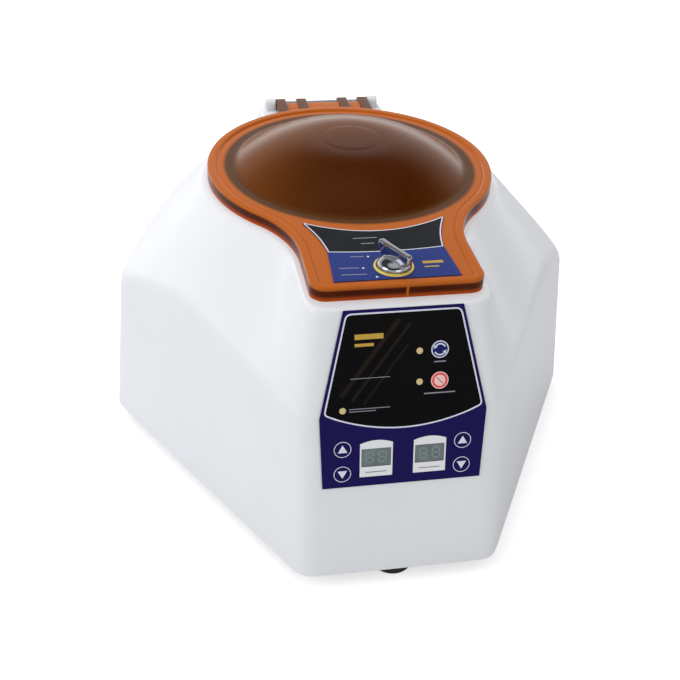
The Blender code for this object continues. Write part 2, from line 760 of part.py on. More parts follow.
def panel_holes(frame, name, keys, lamps, displays, bottom=-WALL - CUT_OVER):
    """Cutter for the keys, lamps and display windows of one facet."""
    cuts = bmesh.new()
    top = LABEL_FACE + CUT_OVER
    for x, y in keys.values():
        add_rod(cuts, (x, y, bottom), (x, y, top), KEY_RADIUS + SLIDE_GAP, 14)
    for x, y in lamps.values():
        add_rod(cuts, (x, y, bottom), (x, y, top), LAMP_RADIUS + SLIDE_GAP, 8)
    for x in displays.values():
        size = (DISPLAY_WIDTH + 2 * SLIDE_GAP, DISPLAY_HEIGHT + 2 * SLIDE_GAP, top - bottom)
        add_box(cuts, (x, DISPLAY_ALONG, (top + bottom) / 2), size)
    return tool(name, cuts, frame)


def make_panel_label(parent, upper_cut, lower_cut):
    """Printed sheet bent over the front's kink: a strip of rings from its bottom edge to its top edge."""
    reach = wall_reach(FRONT, KINK_HEIGHT)
    lower_lean = math.atan(FRONT_DRAFT)
    upper_lean = math.atan2(reach - PANEL_TOP_REACH, DECK_HEIGHT - KINK_HEIGHT)

    def ring(along, lean, half, outs):
        """Four corners of the strip at one height: two out-of-face distances, both sides."""
        points = []
        for side, out in ((-1, outs[1]), (1, outs[1]), (1, outs[0]), (-1, outs[0])):
            y = -reach + along * math.sin(lean) - out * math.cos(lean)
            z = KINK_HEIGHT + along * math.cos(lean) + out * math.sin(lean)
            points.append(np.array((side * half, y, z)))
        return points

    bottom, kink, top = LABEL_HALF_WIDTHS
    outs = (SEAT_GAP, LABEL_FACE)
    middle = (lower_lean + upper_lean) / 2
    stretch = 1 / math.cos((upper_lean - lower_lean) / 2)
    rings = [
        ring(LABEL_BOTTOM, lower_lean, bottom, outs),
        ring(0, middle, kink, [out * stretch for out in outs]),
        ring(LABEL_TOP, upper_lean, top, outs),
    ]
    label = piece("panel_label", lofted(rings), finish("panel_print", "#0B0B14", 0.3), parent, smooth=False)
    combine(label, upper_cut, "DIFFERENCE")
    combine(label, lower_cut, "DIFFERENCE")
    return label


def make_keys(frame, keys, colours):
    """Round keys, each on its own empty at the face of its facet, so it slides along that empty's z."""
    for name, (x, y) in keys.items():
        slide = holder(f"{name}_slide", frame, (x, y, LABEL_FACE + KEY_PROUD))
        depth = LABEL_FACE + KEY_PROUD + BOARD_DEPTH - SEAT_GAP - KEY_TRAVEL
        chamfer = 0.4 * mm
        profile = [
            (0, -depth),
            (KEY_RADIUS, -depth),
            (KEY_RADIUS, -chamfer),
            (KEY_RADIUS - chamfer, 0),
            (0, 0),
        ]
        piece(name, turned(profile, 14), finish(f"{name}_print", colours[name], 0.35), slide)


def make_lamps(frame, lamps):
    """Indicator lenses with a low crown, standing on the board behind the panel."""
    for name, (x, y) in lamps.items():
        top, crown = LABEL_FACE, 0.5 * mm
        profile = [
            (0, -BOARD_DEPTH + SEAT_GAP),
            (LAMP_RADIUS, -BOARD_DEPTH + SEAT_GAP),
            (LAMP_RADIUS, top),
            (LAMP_RADIUS * 0.6, top + crown * 0.8),
            (0, top + crown),
        ]
        piece(name, turned(profile, 8), finish("lamp_lens", "#E8D9A0", 0.25), frame, (x, y, 0))


def make_displays(frame):
    """Display modules: a window that fills its opening in front of a wider body on the board."""
    window = LABEL_FACE - 0.3 * mm
    for name, x in DISPLAY_CENTRES.items():
        wide = (DISPLAY_WIDTH + 2 * DISPLAY_BACK_MARGIN, DISPLAY_HEIGHT + 2 * DISPLAY_BACK_MARGIN)
        steps = (
            (wide, -BOARD_DEPTH + SEAT_GAP),
            (wide, -WALL - SEAT_GAP),
            ((DISPLAY_WIDTH, DISPLAY_HEIGHT), -WALL - SEAT_GAP),
            ((DISPLAY_WIDTH, DISPLAY_HEIGHT), window),
        )
        rings = []
        for (width, height), z in steps:
            corners = ((-1, -1), (1, -1), (1, 1), (-1, 1))
            rings.append([np.array((a * width / 2, b * height / 2, z)) for a, b in corners])
        piece(name, lofted(rings), finish("display_glass", "#7F8B8C", 0.2), frame, (x, DISPLAY_ALONG, 0), smooth=False)


def make_boards(upper, lower):
    """Circuit boards on their standoffs, one behind each facet."""
    green = finish("circuit_board", "#1E5A36", 0.5)
    middle = -BOARD_DEPTH - BOARD_THICKNESS / 2
    for name, frame, (half, low, high) in (("key_board", upper, UPPER_BOARD), ("display_board", lower, LOWER_BOARD)):
        board = bmesh.new()
        add_box(board, (0, (low + high) / 2, middle), (2 * half, high - low, BOARD_THICKNESS))
        piece(name, board, green, frame, smooth=False)


# Lid

LID_COUNTS = {"front": 1, "front corner": 3, "tongue side": 1, "neck": 4, "rim": 12}


def lid_ring(grow, height):
    """The lid's outline at an offset and a height."""
    spans, azimuth = front_of_keyhole(grow, TONGUE_REACH + grow, LID_COUNTS)
    spans["rim"] = arc((0, 0), LID_RADIUS + grow, azimuth, math.pi / 2, LID_COUNTS["rim"])
    half = []
    for span, points in spans.items():
        kept = points if span == "rim" else points[:-1]
        half += [np.array((x, y, height)) for x, y in kept]
    return mirrored_ring(half)


def drawn_to_circle(ring, radius, height):
    """A ring's points moved along their azimuths on to a circle."""
    made = []
    for point in ring:
        scale = radius / math.hypot(point[0], point[1])
        made.append(np.array((point[0] * scale, point[1] * scale, height)))
    return made


def dome_height(radius):
    """The dome's crown: a cosine that leaves the plate at its base and is level at its boss."""
    f = (radius - DOME_BOSS_RADIUS) / (DOME_RADIUS - DOME_BOSS_RADIUS)
    lift = 1 - f**2.1
    return CHANNEL_TOP + (LID_TOP + DOME_RISE - CHANNEL_TOP - DOME_BOSS_RISE) * lift


def lid_solid():
    """The lid as one loft: from the dome's inside down to the foot of the skirt, then up again over the outside."""
    edge = 0.8 * mm
    outline = lid_ring(0, LID_BOTTOM)
    inside = []
    for f in (1.0, 0.6, 0.2):
        radius = DOME_RADIUS + f * (DOME_BOSS_RADIUS - DOME_RADIUS)
        inside.append(drawn_to_circle(outline, radius, dome_height(radius) - LID_WALL))
    inside += [
        drawn_to_circle(outline, DOME_RADIUS - 1 * mm, PLATE_UNDERSIDE),
        lid_ring(-LID_WALL, PLATE_UNDERSIDE),
        lid_ring(-LID_WALL, LID_BOTTOM),
    ]
    outside = [
        outline,
        lid_ring(0, LID_TOP - edge),
        lid_ring(-edge, LID_TOP),
        lid_ring(-BEAD_WIDTH, LID_TOP),
        lid_ring(-BEAD_WIDTH - CHANNEL_DEPTH, CHANNEL_TOP),
        drawn_to_circle(outline, DOME_RADIUS + 1.5 * mm, CHANNEL_TOP),
    ]
    for f in (0.0, 0.2, 0.6, 1.0):
        radius = DOME_RADIUS + f * (DOME_BOSS_RADIUS - DOME_RADIUS)
        lift = 0.4 * mm if f == 0 else 0
        outside.append(drawn_to_circle(outline, radius, dome_height(radius) + lift))
    outside.append(drawn_to_circle(outline, DOME_BOSS_RADIUS - 0.8 * mm, LID_TOP + DOME_RISE))
    return lofted(inside + outside)


def lug_outline(start):
    """A hinge lug's side view: level from inside the skirt to a round end on the pin's axis."""
    top = HINGE_HEIGHT + LUG_RADIUS
    end = arc((HINGE_REACH, HINGE_HEIGHT), LUG_RADIUS, -math.pi / 2, math.pi / 2, 8)
    return [(start, HINGE_HEIGHT - LUG_RADIUS)] + end + [(start, top)]


def make_lid(parent):
    """Amber moulding: skirt, raised bead, channel, dome, and at the back a web with four lugs on the pin."""
    lid = piece("lid", lid_solid(), amber(), parent)

    lugs = bmesh.new()
    inside = LID_RADIUS - LID_WALL / 2
    for centre in LUG_CENTRES:
        start = math.sqrt(inside**2 - (centre + LUG_WIDTH / 2) ** 2)
        for side in (-1, 1):
            middle = side * centre
            add_prism(lugs, lug_outline(start), middle - LUG_WIDTH / 2, middle + LUG_WIDTH / 2, axis="X")
    combine(lid, tool("lugs_shape", lugs, parent), "UNION")

    web = bmesh.new()
    reach = LUG_CENTRES[1]
    start = math.sqrt(inside**2 - reach**2)
    end = HINGE_REACH - LUG_RADIUS - 1.5 * mm
    web_top = HINGE_HEIGHT + LUG_RADIUS - 1.2 * mm
    size = (2 * reach, end - start, LID_WALL)
    add_box(web, (0, (start + end) / 2, web_top - LID_WALL / 2), size)
    combine(lid, tool("web_shape", web, parent), "UNION")

    cuts = bmesh.new()
    reach = LUG_CENTRES[1] + LUG_WIDTH
    add_rod(cuts, (-reach, HINGE_REACH, HINGE_HEIGHT), (reach, HINGE_REACH, HINGE_HEIGHT), PIN_HOLE, 16)
    foot = (0, -LATCH_REACH, PLATE_UNDERSIDE - CUT_OVER)
    head = (0, -LATCH_REACH, LID_TOP + CUT_OVER)
    add_rod(cuts, foot, head, LATCH_SHAFT_RADIUS + SLIDE_GAP, 20)
    combine(lid, tool("lid_cuts", cuts, parent), "DIFFERENCE")
    return lid


LID_LABEL_TOP_RADIUS = 102.5 * mm
LID_LABEL_TOP_HALF = 46 * mm
LID_LABEL_WAIST = (38.2 * mm, -126.2 * mm)
LID_LABEL_BOTTOM = (40 * mm, -162.4 * mm)


def make_lid_label(parent):
    """Printed sheet in the tongue's channel: its back edge is an arc round the dome, its waist is narrower."""
    start = -math.acos(LID_LABEL_TOP_HALF / LID_LABEL_TOP_RADIUS)
    back = arc((0, 0), LID_LABEL_TOP_RADIUS, start, -math.pi - start, 12)
    right = [(LID_LABEL_BOTTOM[0], LID_LABEL_BOTTOM[1]), LID_LABEL_WAIST]
    left = [(-x, y) for x, y in reversed(right)]
    sheet = bmesh.new()
    low = CHANNEL_TOP + SEAT_GAP
    add_prism(sheet, right + back + left, low, low + LID_LABEL_THICKNESS)
    label = piece("lid_label", sheet, finish("lid_print", "#27356F", 0.35), parent, smooth=False)
    cut = bmesh.new()
    foot = (0, -LATCH_REACH, low - CUT_OVER)
    head = (0, -LATCH_REACH, low + LID_LABEL_THICKNESS + CUT_OVER)
    add_rod(cut, foot, head, LATCH_SHAFT_RADIUS + SLIDE_GAP, 20)
    combine(label, tool("lid_label_cut", cut, parent), "DIFFERENCE")
    return label


def make_latch(lid_frame, latch_frame):
    """Yellow ring on the lid, chrome knob with a bar handle above it, and the turning cam under the deck."""
    label_top = CHANNEL_TOP + SEAT_GAP + LID_LABEL_THICKNESS
    low = label_top + SEAT_GAP
    inner = KNOB_RADIUS + SLIDE_GAP
    ring = [(inner, low), (RING_RADIUS, low), (RING_RADIUS - 0.5 * mm, low + RING_HEIGHT), (inner, low + RING_HEIGHT)]
    place = (0, -LATCH_REACH, 0)
    piece("latch_ring", turned(ring, 20), finish("yellow_ring", "#D9C04A", 0.3), lid_frame, place)

    bore = LATCH_SHAFT_RADIUS + SLIDE_GAP
    bore_top = low + 4 * mm
    knob = [(0, low), (KNOB_RADIUS, low), (KNOB_RADIUS, low + 1.5 * mm)]
    knob += [
        (KNOB_RADIUS * math.cos(a), low + 1.5 * mm + (KNOB_BASE_HEIGHT - 1.5 * mm) * math.sin(a))
        for a in np.linspace(0.3, math.pi / 2, 5)[:-1]
    ]
    knob.append((0, low + KNOB_BASE_HEIGHT))
    base = piece("latch_knob", turned(knob, 20), finish("chrome_plate", "#D8DADC", 0.08, 1.0), latch_frame)
    handle = bmesh.new()
    top = low + KNOB_HEIGHT
    half = BAR_LENGTH / 2
    outline = [
        (-half, top - 6 * mm),
        (-KNOB_RADIUS * 0.75, low + 3 * mm),
        (KNOB_RADIUS * 0.85, low + 2 * mm),
        (half, top - 3.5 * mm),
        (half, top),
        (-half, top),
    ]
    add_prism(handle, outline, -BAR_WIDTH / 2, BAR_WIDTH / 2, axis="X")
    turn = Matrix.Rotation(LATCH_REST_ANGLE - math.pi / 2, 3, "Z")
    combine(base, tool("handle_shape", handle, latch_frame, turn=turn), "UNION")
    hole = bmesh.new()
    add_rod(hole, (0, 0, low - CUT_OVER), (0, 0, bore_top), bore, 20)
    combine(base, tool("knob_bore", hole, latch_frame), "DIFFERENCE")

    cam_top = DECK_HEIGHT - CAM_DROP
    cam = bmesh.new()
    add_rod(cam, (0, 0, cam_top - CAM_HEIGHT), (0, 0, bore_top - SEAT_GAP), LATCH_SHAFT_RADIUS, 16)
    shaft = piece("latch_cam", cam, zinc(), latch_frame)
    bar = bmesh.new()
    add_prism(bar, rounded_rectangle(CAM_LENGTH, CAM_WIDTH, 2 * mm), cam_top - CAM_HEIGHT, cam_top)
    combine(shaft, tool("cam_shape", bar, latch_frame), "UNION")


def make_strike_plate(parent):
    """Steel plate on the deck with the slot that the cam drops through."""
    width, depth, thickness = STRIKE_SIZE
    plate = bmesh.new()
    low = DECK_HEIGHT + SEAT_GAP
    outline = [(x, y - LATCH_REACH) for x, y in rounded_rectangle(width, depth, 4 * mm)]
    add_prism(plate, outline, low, low + thickness)
    strike = piece("strike_plate", plate, steel(), parent, smooth=False)
    slot = bmesh.new()
    opening = rounded_rectangle(CAM_LENGTH + 2 * STRIKE_MARGIN, CAM_WIDTH + 2 * STRIKE_MARGIN, 2 * mm)
    add_prism(slot, [(x, y - LATCH_REACH) for x, y in opening], low - CUT_OVER, low + thickness + CUT_OVER)
    combine(strike, tool("strike_cut", slot, parent), "DIFFERENCE")


def make_interlock(parent, plunger_frame):
    """Solenoid under the deck whose plunger stops the cam from turning back."""
    width, depth, height = SOLENOID_SIZE
    top = DECK_HEIGHT - WALL - SEAT_GAP
    front = -LATCH_REACH + SOLENOID_GAP
    body = bmesh.new()
    add_box(body, (PLUNGER_ACROSS, front + depth / 2, top - height / 2), SOLENOID_SIZE)
    solenoid = piece("lock_solenoid", body, finish("solenoid_wrap", "#2B2D31", 0.5), parent, smooth=False)
    soften_edges(solenoid, 1 * mm)
    bore = bmesh.new()
    level = top - height / 2
    foot = (PLUNGER_ACROSS, front - CUT_OVER, level)
    head = (PLUNGER_ACROSS, front + PLUNGER_BORE, level)
    add_rod(bore, foot, head, PLUNGER_RADIUS + SLIDE_GAP, 16)
    combine(solenoid, tool("solenoid_bore", bore, parent), "DIFFERENCE")
    length = PLUNGER_STICKS_OUT + PLUNGER_BORE - SEAT_GAP
    pin = [(0, 0), (PLUNGER_RADIUS - 0.5 * mm, 0), (PLUNGER_RADIUS, 0.5 * mm), (PLUNGER_RADIUS, length), (0, length)]
    turn = Matrix.Rotation(-math.pi / 2, 3, "X")
    piece("lock_plunger", turned(pin, 16), steel(), plunger_frame, turn=turn)


def plunger_place():
    """The plunger's tip at rest."""
    level = DECK_HEIGHT - WALL - SEAT_GAP - SOLENOID_SIZE[2] / 2
    return (PLUNGER_ACROSS, -LATCH_REACH + SOLENOID_GAP - PLUNGER_STICKS_OUT, level)


def make_hinge_pin(parent):
    """Pin through both ears and the four lugs, with a head at one end."""
    pin = bmesh.new()
    end = ear_centre() + EAR_WIDTH / 2
    add_rod(pin, (-end, HINGE_REACH, HINGE_HEIGHT), (end + 0.6 * mm, HINGE_REACH, HINGE_HEIGHT), PIN_RADIUS, 16)
    piece("hinge_pin", pin, steel(), parent)


# Chamber and drive

FLANGE_BOTTOM = DECK_HEIGHT + SEAT_GAP
FLANGE_TOP = FLANGE_BOTTOM + BOWL_WALL


def make_chamber(parent):
    """Spun steel bowl that hangs in the deck's opening, and the rubber ring that the lid closes on."""
    outer = BOWL_RADIUS + BOWL_WALL
    floor_top = BOWL_FLOOR_HEIGHT + BOWL_WALL
    inside = arc((BOWL_RADIUS - BOWL_CORNER, floor_top + BOWL_CORNER), BOWL_CORNER, 0, -math.pi / 2, 2)
    outside = arc((BOWL_RADIUS - BOWL_CORNER, floor_top + BOWL_CORNER), BOWL_CORNER + BOWL_WALL, -math.pi / 2, 0, 2)
    profile = [(BOWL_FLANGE_RADIUS, FLANGE_BOTTOM), (BOWL_FLANGE_RADIUS, FLANGE_TOP), (BOWL_RADIUS, FLANGE_TOP)]
    profile += inside
    profile += [(BOOT_HOLE_RADIUS, floor_top), (BOOT_HOLE_RADIUS, BOWL_FLOOR_HEIGHT)]
    profile += outside
    profile += [(outer, FLANGE_BOTTOM)]
    piece("chamber_bowl", turned(profile, 32), steel(), parent)

    low, high = FLANGE_TOP + SEAT_GAP, PLATE_UNDERSIDE - SEAT_GAP
    inner, width = GASKET_INNER, GASKET_WIDTH
    crown = (low + high) / 2 + 1 * mm
    ring = [
        (inner, low),
        (inner + width, low),
        (inner + width, crown),
        (inner + width * 0.75, high),
        (inner + width * 0.25, high),
        (inner, crown),
    ]
    piece("chamber_gasket", turned(ring, 32), black_rubber(), parent)


MOTOR_PLATE_BOTTOM = PLATE_TOP + 2 * SEAT_GAP + ISOLATOR_HEIGHT
MOTOR_BOTTOM = MOTOR_PLATE_BOTTOM + MOTOR_PLATE_THICKNESS + SEAT_GAP
MOTOR_TOP = BOWL_FLOOR_HEIGHT - MOTOR_DROP
SHAFT_FOOT = MOTOR_TOP - 10 * mm


def make_drive(parent):
    """Motor on a plate on three rubber isolators, with a rubber boot between it and the bowl."""
    plate = [
        (0, MOTOR_PLATE_BOTTOM),
        (MOTOR_PLATE_RADIUS, MOTOR_PLATE_BOTTOM),
        (MOTOR_PLATE_RADIUS, MOTOR_PLATE_BOTTOM + MOTOR_PLATE_THICKNESS),
        (0, MOTOR_PLATE_BOTTOM + MOTOR_PLATE_THICKNESS),
    ]
    piece("motor_plate", turned(plate, 24), zinc(), parent)

    bore = SHAFT_RADIUS + SHAFT_CLEARANCE
    shell, band = MOTOR_RADIUS, MOTOR_RADIUS - 2 * mm
    cap = 11 * mm
    profile = [
        (0, MOTOR_BOTTOM),
        (band - 2 * mm, MOTOR_BOTTOM),
        (band, MOTOR_BOTTOM + 2 * mm),
        (band, MOTOR_BOTTOM + cap),
        (shell, MOTOR_BOTTOM + cap),
        (shell, MOTOR_TOP - cap),
        (band, MOTOR_TOP - cap),
        (band, MOTOR_TOP - 5 * mm),
        (band - 3 * mm, MOTOR_TOP - 2 * mm),
        (14 * mm, MOTOR_TOP - 2 * mm),
        (14 * mm, MOTOR_TOP),
        (bore, MOTOR_TOP),
        (bore, SHAFT_FOOT - SEAT_GAP),
        (0, SHAFT_FOOT - SEAT_GAP),
    ]
    piece("motor", turned(profile, 20), finish("motor_paint", "#3A3D40", 0.45), parent)

    for i in range(3):
        azimuth = math.pi / 2 + i * 2 * math.pi / 3
        low = PLATE_TOP + SEAT_GAP
        waist = ISOLATOR_RADIUS - 1.5 * mm
        profile = [
            (0, low),
            (ISOLATOR_RADIUS, low),
            (ISOLATOR_RADIUS, low + 4 * mm),
            (waist, low + ISOLATOR_HEIGHT / 2),
            (ISOLATOR_RADIUS, low + ISOLATOR_HEIGHT - 4 * mm),
            (ISOLATOR_RADIUS, low + ISOLATOR_HEIGHT),
            (0, low + ISOLATOR_HEIGHT),
        ]
        place = (ISOLATOR_CIRCLE * math.cos(azimuth), ISOLATOR_CIRCLE * math.sin(azimuth), 0)
        piece(f"isolator_{i + 1}", turned(profile, 12), black_rubber(), parent, place)

    low = MOTOR_TOP - 2 * mm + SEAT_GAP
    seat, floor_top = BOWL_FLOOR_HEIGHT - SEAT_GAP, BOWL_FLOOR_HEIGHT + BOWL_WALL + SEAT_GAP
    neck = BOOT_HOLE_RADIUS - SEAT_GAP
    fold = (seat - low) / 2
    lip = 1.5 * mm
    profile = [
        (BOOT_FOOT_BORE, low),
        (BOOT_FOOT_RADIUS, low),
        (BOOT_FOLD_RADIUS, low + fold),
        (BOOT_FOOT_RADIUS, seat),
        (neck, seat),
        (neck, floor_top),
        (BOOT_LIP_RADIUS, floor_top),
        (BOOT_LIP_RADIUS, floor_top + lip),
        (BOOT_MOUTH[1], floor_top + lip),
        (BOOT_MOUTH[0], floor_top),
        (BOOT_MOUTH[0], seat),
        (BOOT_FOLD_BORE, low + fold),
    ]
    piece("shaft_boot", turned(profile, 16), black_rubber(), parent)


# Rotor: s is the distance down a tube from its mouth, and the head's cone stands square to the tubes

TUBE_MOUTH_REACH = TUBE_TIP_REACH - TUBE_LENGTH * math.sin(TUBE_ANGLE)
TUBE_MOUTH_HEIGHT = TUBE_TIP_HEIGHT + TUBE_LENGTH * math.cos(TUBE_ANGLE)


def head_line(s, radius):
    """Height of the head's cone at a radius, where that cone crosses the tubes' axes s below their mouths."""
    reach = TUBE_MOUTH_REACH + s * math.sin(TUBE_ANGLE)
    height = TUBE_MOUTH_HEIGHT - s * math.cos(TUBE_ANGLE)
    return height + (radius - reach) * math.tan(TUBE_ANGLE)


HEAD_TOP = TUBE_COLLAR + SEAT_GAP
HEAD_BOTTOM = HEAD_TOP + HEAD_THICKNESS
HUB_TOP = head_line(HEAD_TOP, HUB_RADIUS) + 2 * mm


def make_rotor(parent):
    """Cast angle rotor: a hub and a thick cone, bored square through for the tube shields."""
    bore = SHAFT_RADIUS + SHAFT_CLEARANCE
    rim = 4 * mm
    profile = [
        (bore, HUB_BOTTOM),
        (HUB_RADIUS - 1 * mm, HUB_BOTTOM),
        (HUB_RADIUS, HUB_BOTTOM + 1 * mm),
        (HUB_RADIUS, head_line(HEAD_BOTTOM, HUB_RADIUS + 3 * mm) - 2 * mm),
        (HUB_RADIUS + 3 * mm, head_line(HEAD_BOTTOM, HUB_RADIUS + 3 * mm)),
        (HEAD_RADIUS, head_line(HEAD_BOTTOM, HEAD_RADIUS)),
        (HEAD_RADIUS, head_line(HEAD_TOP, HEAD_RADIUS - rim) - 3 * mm),
        (HEAD_RADIUS - 1 * mm, head_line(HEAD_TOP, HEAD_RADIUS - rim) - 0.8 * mm),
        (HEAD_RADIUS - rim, head_line(HEAD_TOP, HEAD_RADIUS - rim)),
        (HUB_RADIUS, head_line(HEAD_TOP, HUB_RADIUS)),
        (HUB_RADIUS, HUB_TOP),
        (bore, HUB_TOP),
    ]
    rotor = piece("rotor", turned(profile, 26), aluminium(), parent)
    seat = TUBE_LENGTH - TUBE_COLLAR - SEAT_GAP
    low, high = TUBE_LENGTH - HEAD_BOTTOM - HUB_RADIUS, TUBE_LENGTH + 4 * TUBE_COLLAR
    hole, collar = TUBE_RADIUS + SLIDE_GAP, TUBE_COLLAR_RADIUS + SLIDE_GAP
    stepped = [(0, low), (hole, low), (hole, seat), (collar, seat), (collar, high), (0, high)]
    bores = bmesh.new()
    for i in range(PLACES):
        off_plane = Matrix.Rotation(BORE_TWIST, 4, "Z")
        add_turned(bores, stepped, 14, tube_matrix(i) @ off_plane)
    combine(rotor, tool("tube_bores", bores, parent), "DIFFERENCE")

    shaft = bmesh.new()
    top = HUB_TOP + NUT_HEIGHT * 0.6
    add_rod(shaft, (0, 0, SHAFT_FOOT), (0, 0, top), SHAFT_RADIUS, 16)
    piece("rotor_shaft", shaft, steel(), parent)

    low = HUB_TOP + SEAT_GAP
    nut = [
        (bore, low),
        (NUT_RADIUS, low),
        (NUT_RADIUS, low + NUT_HEIGHT - 2 * mm),
        (NUT_RADIUS - 2 * mm, low + NUT_HEIGHT),
        (0, low + NUT_HEIGHT),
        (0, top + SEAT_GAP),
        (bore, top + SEAT_GAP),
    ]
    piece("rotor_nut", turned(nut, 14), black_nylon(), parent)


def tube_matrix(index):
    """Frame of one tube place: z runs up the tube from its tip."""
    azimuth = math.pi / 2 + index * 2 * math.pi / PLACES
    around = Matrix.Rotation(azimuth, 4, "Z")
    tip = Matrix.Translation((TUBE_TIP_REACH, 0, TUBE_TIP_HEIGHT))
    return around @ tip @ Matrix.Rotation(-TUBE_ANGLE, 4, "Y")


def make_tube_shields(parent):
    """Drawn metal tube shields with round bottoms, each hanging by its collar in its own bore."""
    outer, inner = TUBE_RADIUS, TUBE_RADIUS - TUBE_WALL
    steps = 2
    bottom = [(outer * math.sin(a), outer - outer * math.cos(a)) for a in np.linspace(0, math.pi / 2, steps + 1)]
    hollow = [(inner * math.sin(a), outer - inner * math.cos(a)) for a in np.linspace(math.pi / 2, 0, steps + 1)]
    profile = bottom + [
        (outer, TUBE_LENGTH - TUBE_COLLAR),
        (TUBE_COLLAR_RADIUS, TUBE_LENGTH - TUBE_COLLAR),
        (TUBE_COLLAR_RADIUS, TUBE_LENGTH),
        (inner, TUBE_LENGTH),
    ]
    profile += hollow
    for i in range(PLACES):
        shield = piece(f"tube_shield_{i + 1}", turned(profile, 10), steel(), parent)
        shield.matrix_local = tube_matrix(i)


# Base

def make_base(parent):
    """Steel plate that closes the housing from below, its screws and the three rubber feet."""
    inset = WALL + PLATE_MARGIN
    spans = {"front": 1, "front corner": 3, "cheek": 1, "shoulder": 1, "widest corner": 3}
    spans |= {"rear shoulder": 1, "rear cheek": 1, "back corner": 3, "back": 1}
    half = []
    for span, count in spans.items():
        for i in range(count + (span == "back")):
            half.append(WALL_SPANS[span](i / count, PLATE_TOP, inset))
    ring = [(x, y) for x, y in half] + [(-x, y) for x, y in half[-2:0:-1]]
    sheet = bmesh.new()
    add_prism(sheet, ring, PLATE_BOTTOM, PLATE_TOP)
    plate = piece("base_plate", sheet, finish("black_powder_coat", "#1F2022", 0.55), parent, smooth=False)
    cuts = bmesh.new()
    for x, y in base_boss_places().values():
        low, high = PLATE_BOTTOM - CUT_OVER, PLATE_TOP + CUT_OVER
        add_rod(cuts, (x, y, low), (x, y, high), SCREW_RADIUS + SLIDE_GAP, 12)
    for i in range(VENT_COUNT):
        x = (i - (VENT_COUNT - 1) / 2) * VENT_PITCH
        outline = [(x + a, VENT_REACH + b) for a, b in rounded_rectangle(VENT_WIDTH, VENT_LENGTH, VENT_WIDTH / 2.01, 1)]
        add_prism(cuts, outline, PLATE_BOTTOM - CUT_OVER, PLATE_TOP + CUT_OVER)
    combine(plate, tool("plate_cuts", cuts, parent), "DIFFERENCE")

    for name, (x, y) in base_boss_places().items():
        head_top = PLATE_BOTTOM - SEAT_GAP
        head_low = head_top - SCREW_HEAD_HEIGHT
        profile = [
            (0, head_low + 0.8 * mm),
            (1.2 * mm, head_low + 0.8 * mm),
            (1.2 * mm, head_low),
            (SCREW_HEAD_RADIUS - 0.8 * mm, head_low),
            (SCREW_HEAD_RADIUS, head_low + 0.8 * mm),
            (SCREW_HEAD_RADIUS, head_top),
            (SCREW_RADIUS, head_top),
            (SCREW_RADIUS, head_top + SCREW_LENGTH),
            (0, head_top + SCREW_LENGTH),
        ]
        piece(f"base_screw_{name}", turned(profile, 8), zinc(), parent, (x, y, 0))

    x, y = REAR_FOOT_PLACE
    feet = {
        "foot_front": (0, -FRONT_FOOT_REACH, FRONT_FOOT_RADIUS),
        "foot_rear_right": (x, y, REAR_FOOT_RADIUS),
        "foot_rear_left": (-x, y, REAR_FOOT_RADIUS),
    }
    for name, (x, y, radius) in feet.items():
        top = PLATE_BOTTOM - SEAT_GAP
        profile = [
            (0, 4 * mm),
            (4 * mm, 4 * mm),
            (4.5 * mm, 0),
            (radius - 1.5 * mm, 0),
            (radius, 1.5 * mm),
            (radius, top),
            (0, top),
        ]
        piece(name, turned(profile, 18), black_rubber(), parent, (x, y, 0))


# Back

def rear_frame(parent):
    """An empty on the back wall's outer face: x across, y up the wall, z out of it."""
    lean = math.atan(BACK_DRAFT)
    turn = Matrix.Rotation(math.pi, 3, "Z") @ Matrix.Rotation(math.pi / 2 - lean, 3, "X")
    return holder("back_wall", parent, (0, wall_reach(BACK, SOCKET_HEIGHT), SOCKET_HEIGHT), turn)


def rear_cuts(rear):
    """Openings in the back wall for the inlet's body and the switch's body."""
    cuts = bmesh.new()
    depth = WALL + 2 * CUT_OVER
    for x, (width, height, _) in ((INLET_ACROSS, INLET_BODY), (SWITCH_ACROSS, SWITCH_BODY)):
        size = (width + 2 * SLIDE_GAP, height + 2 * SLIDE_GAP, depth)
        add_box(cuts, (x, 0, -WALL / 2), size)
    return tool("back_cuts", cuts, rear)


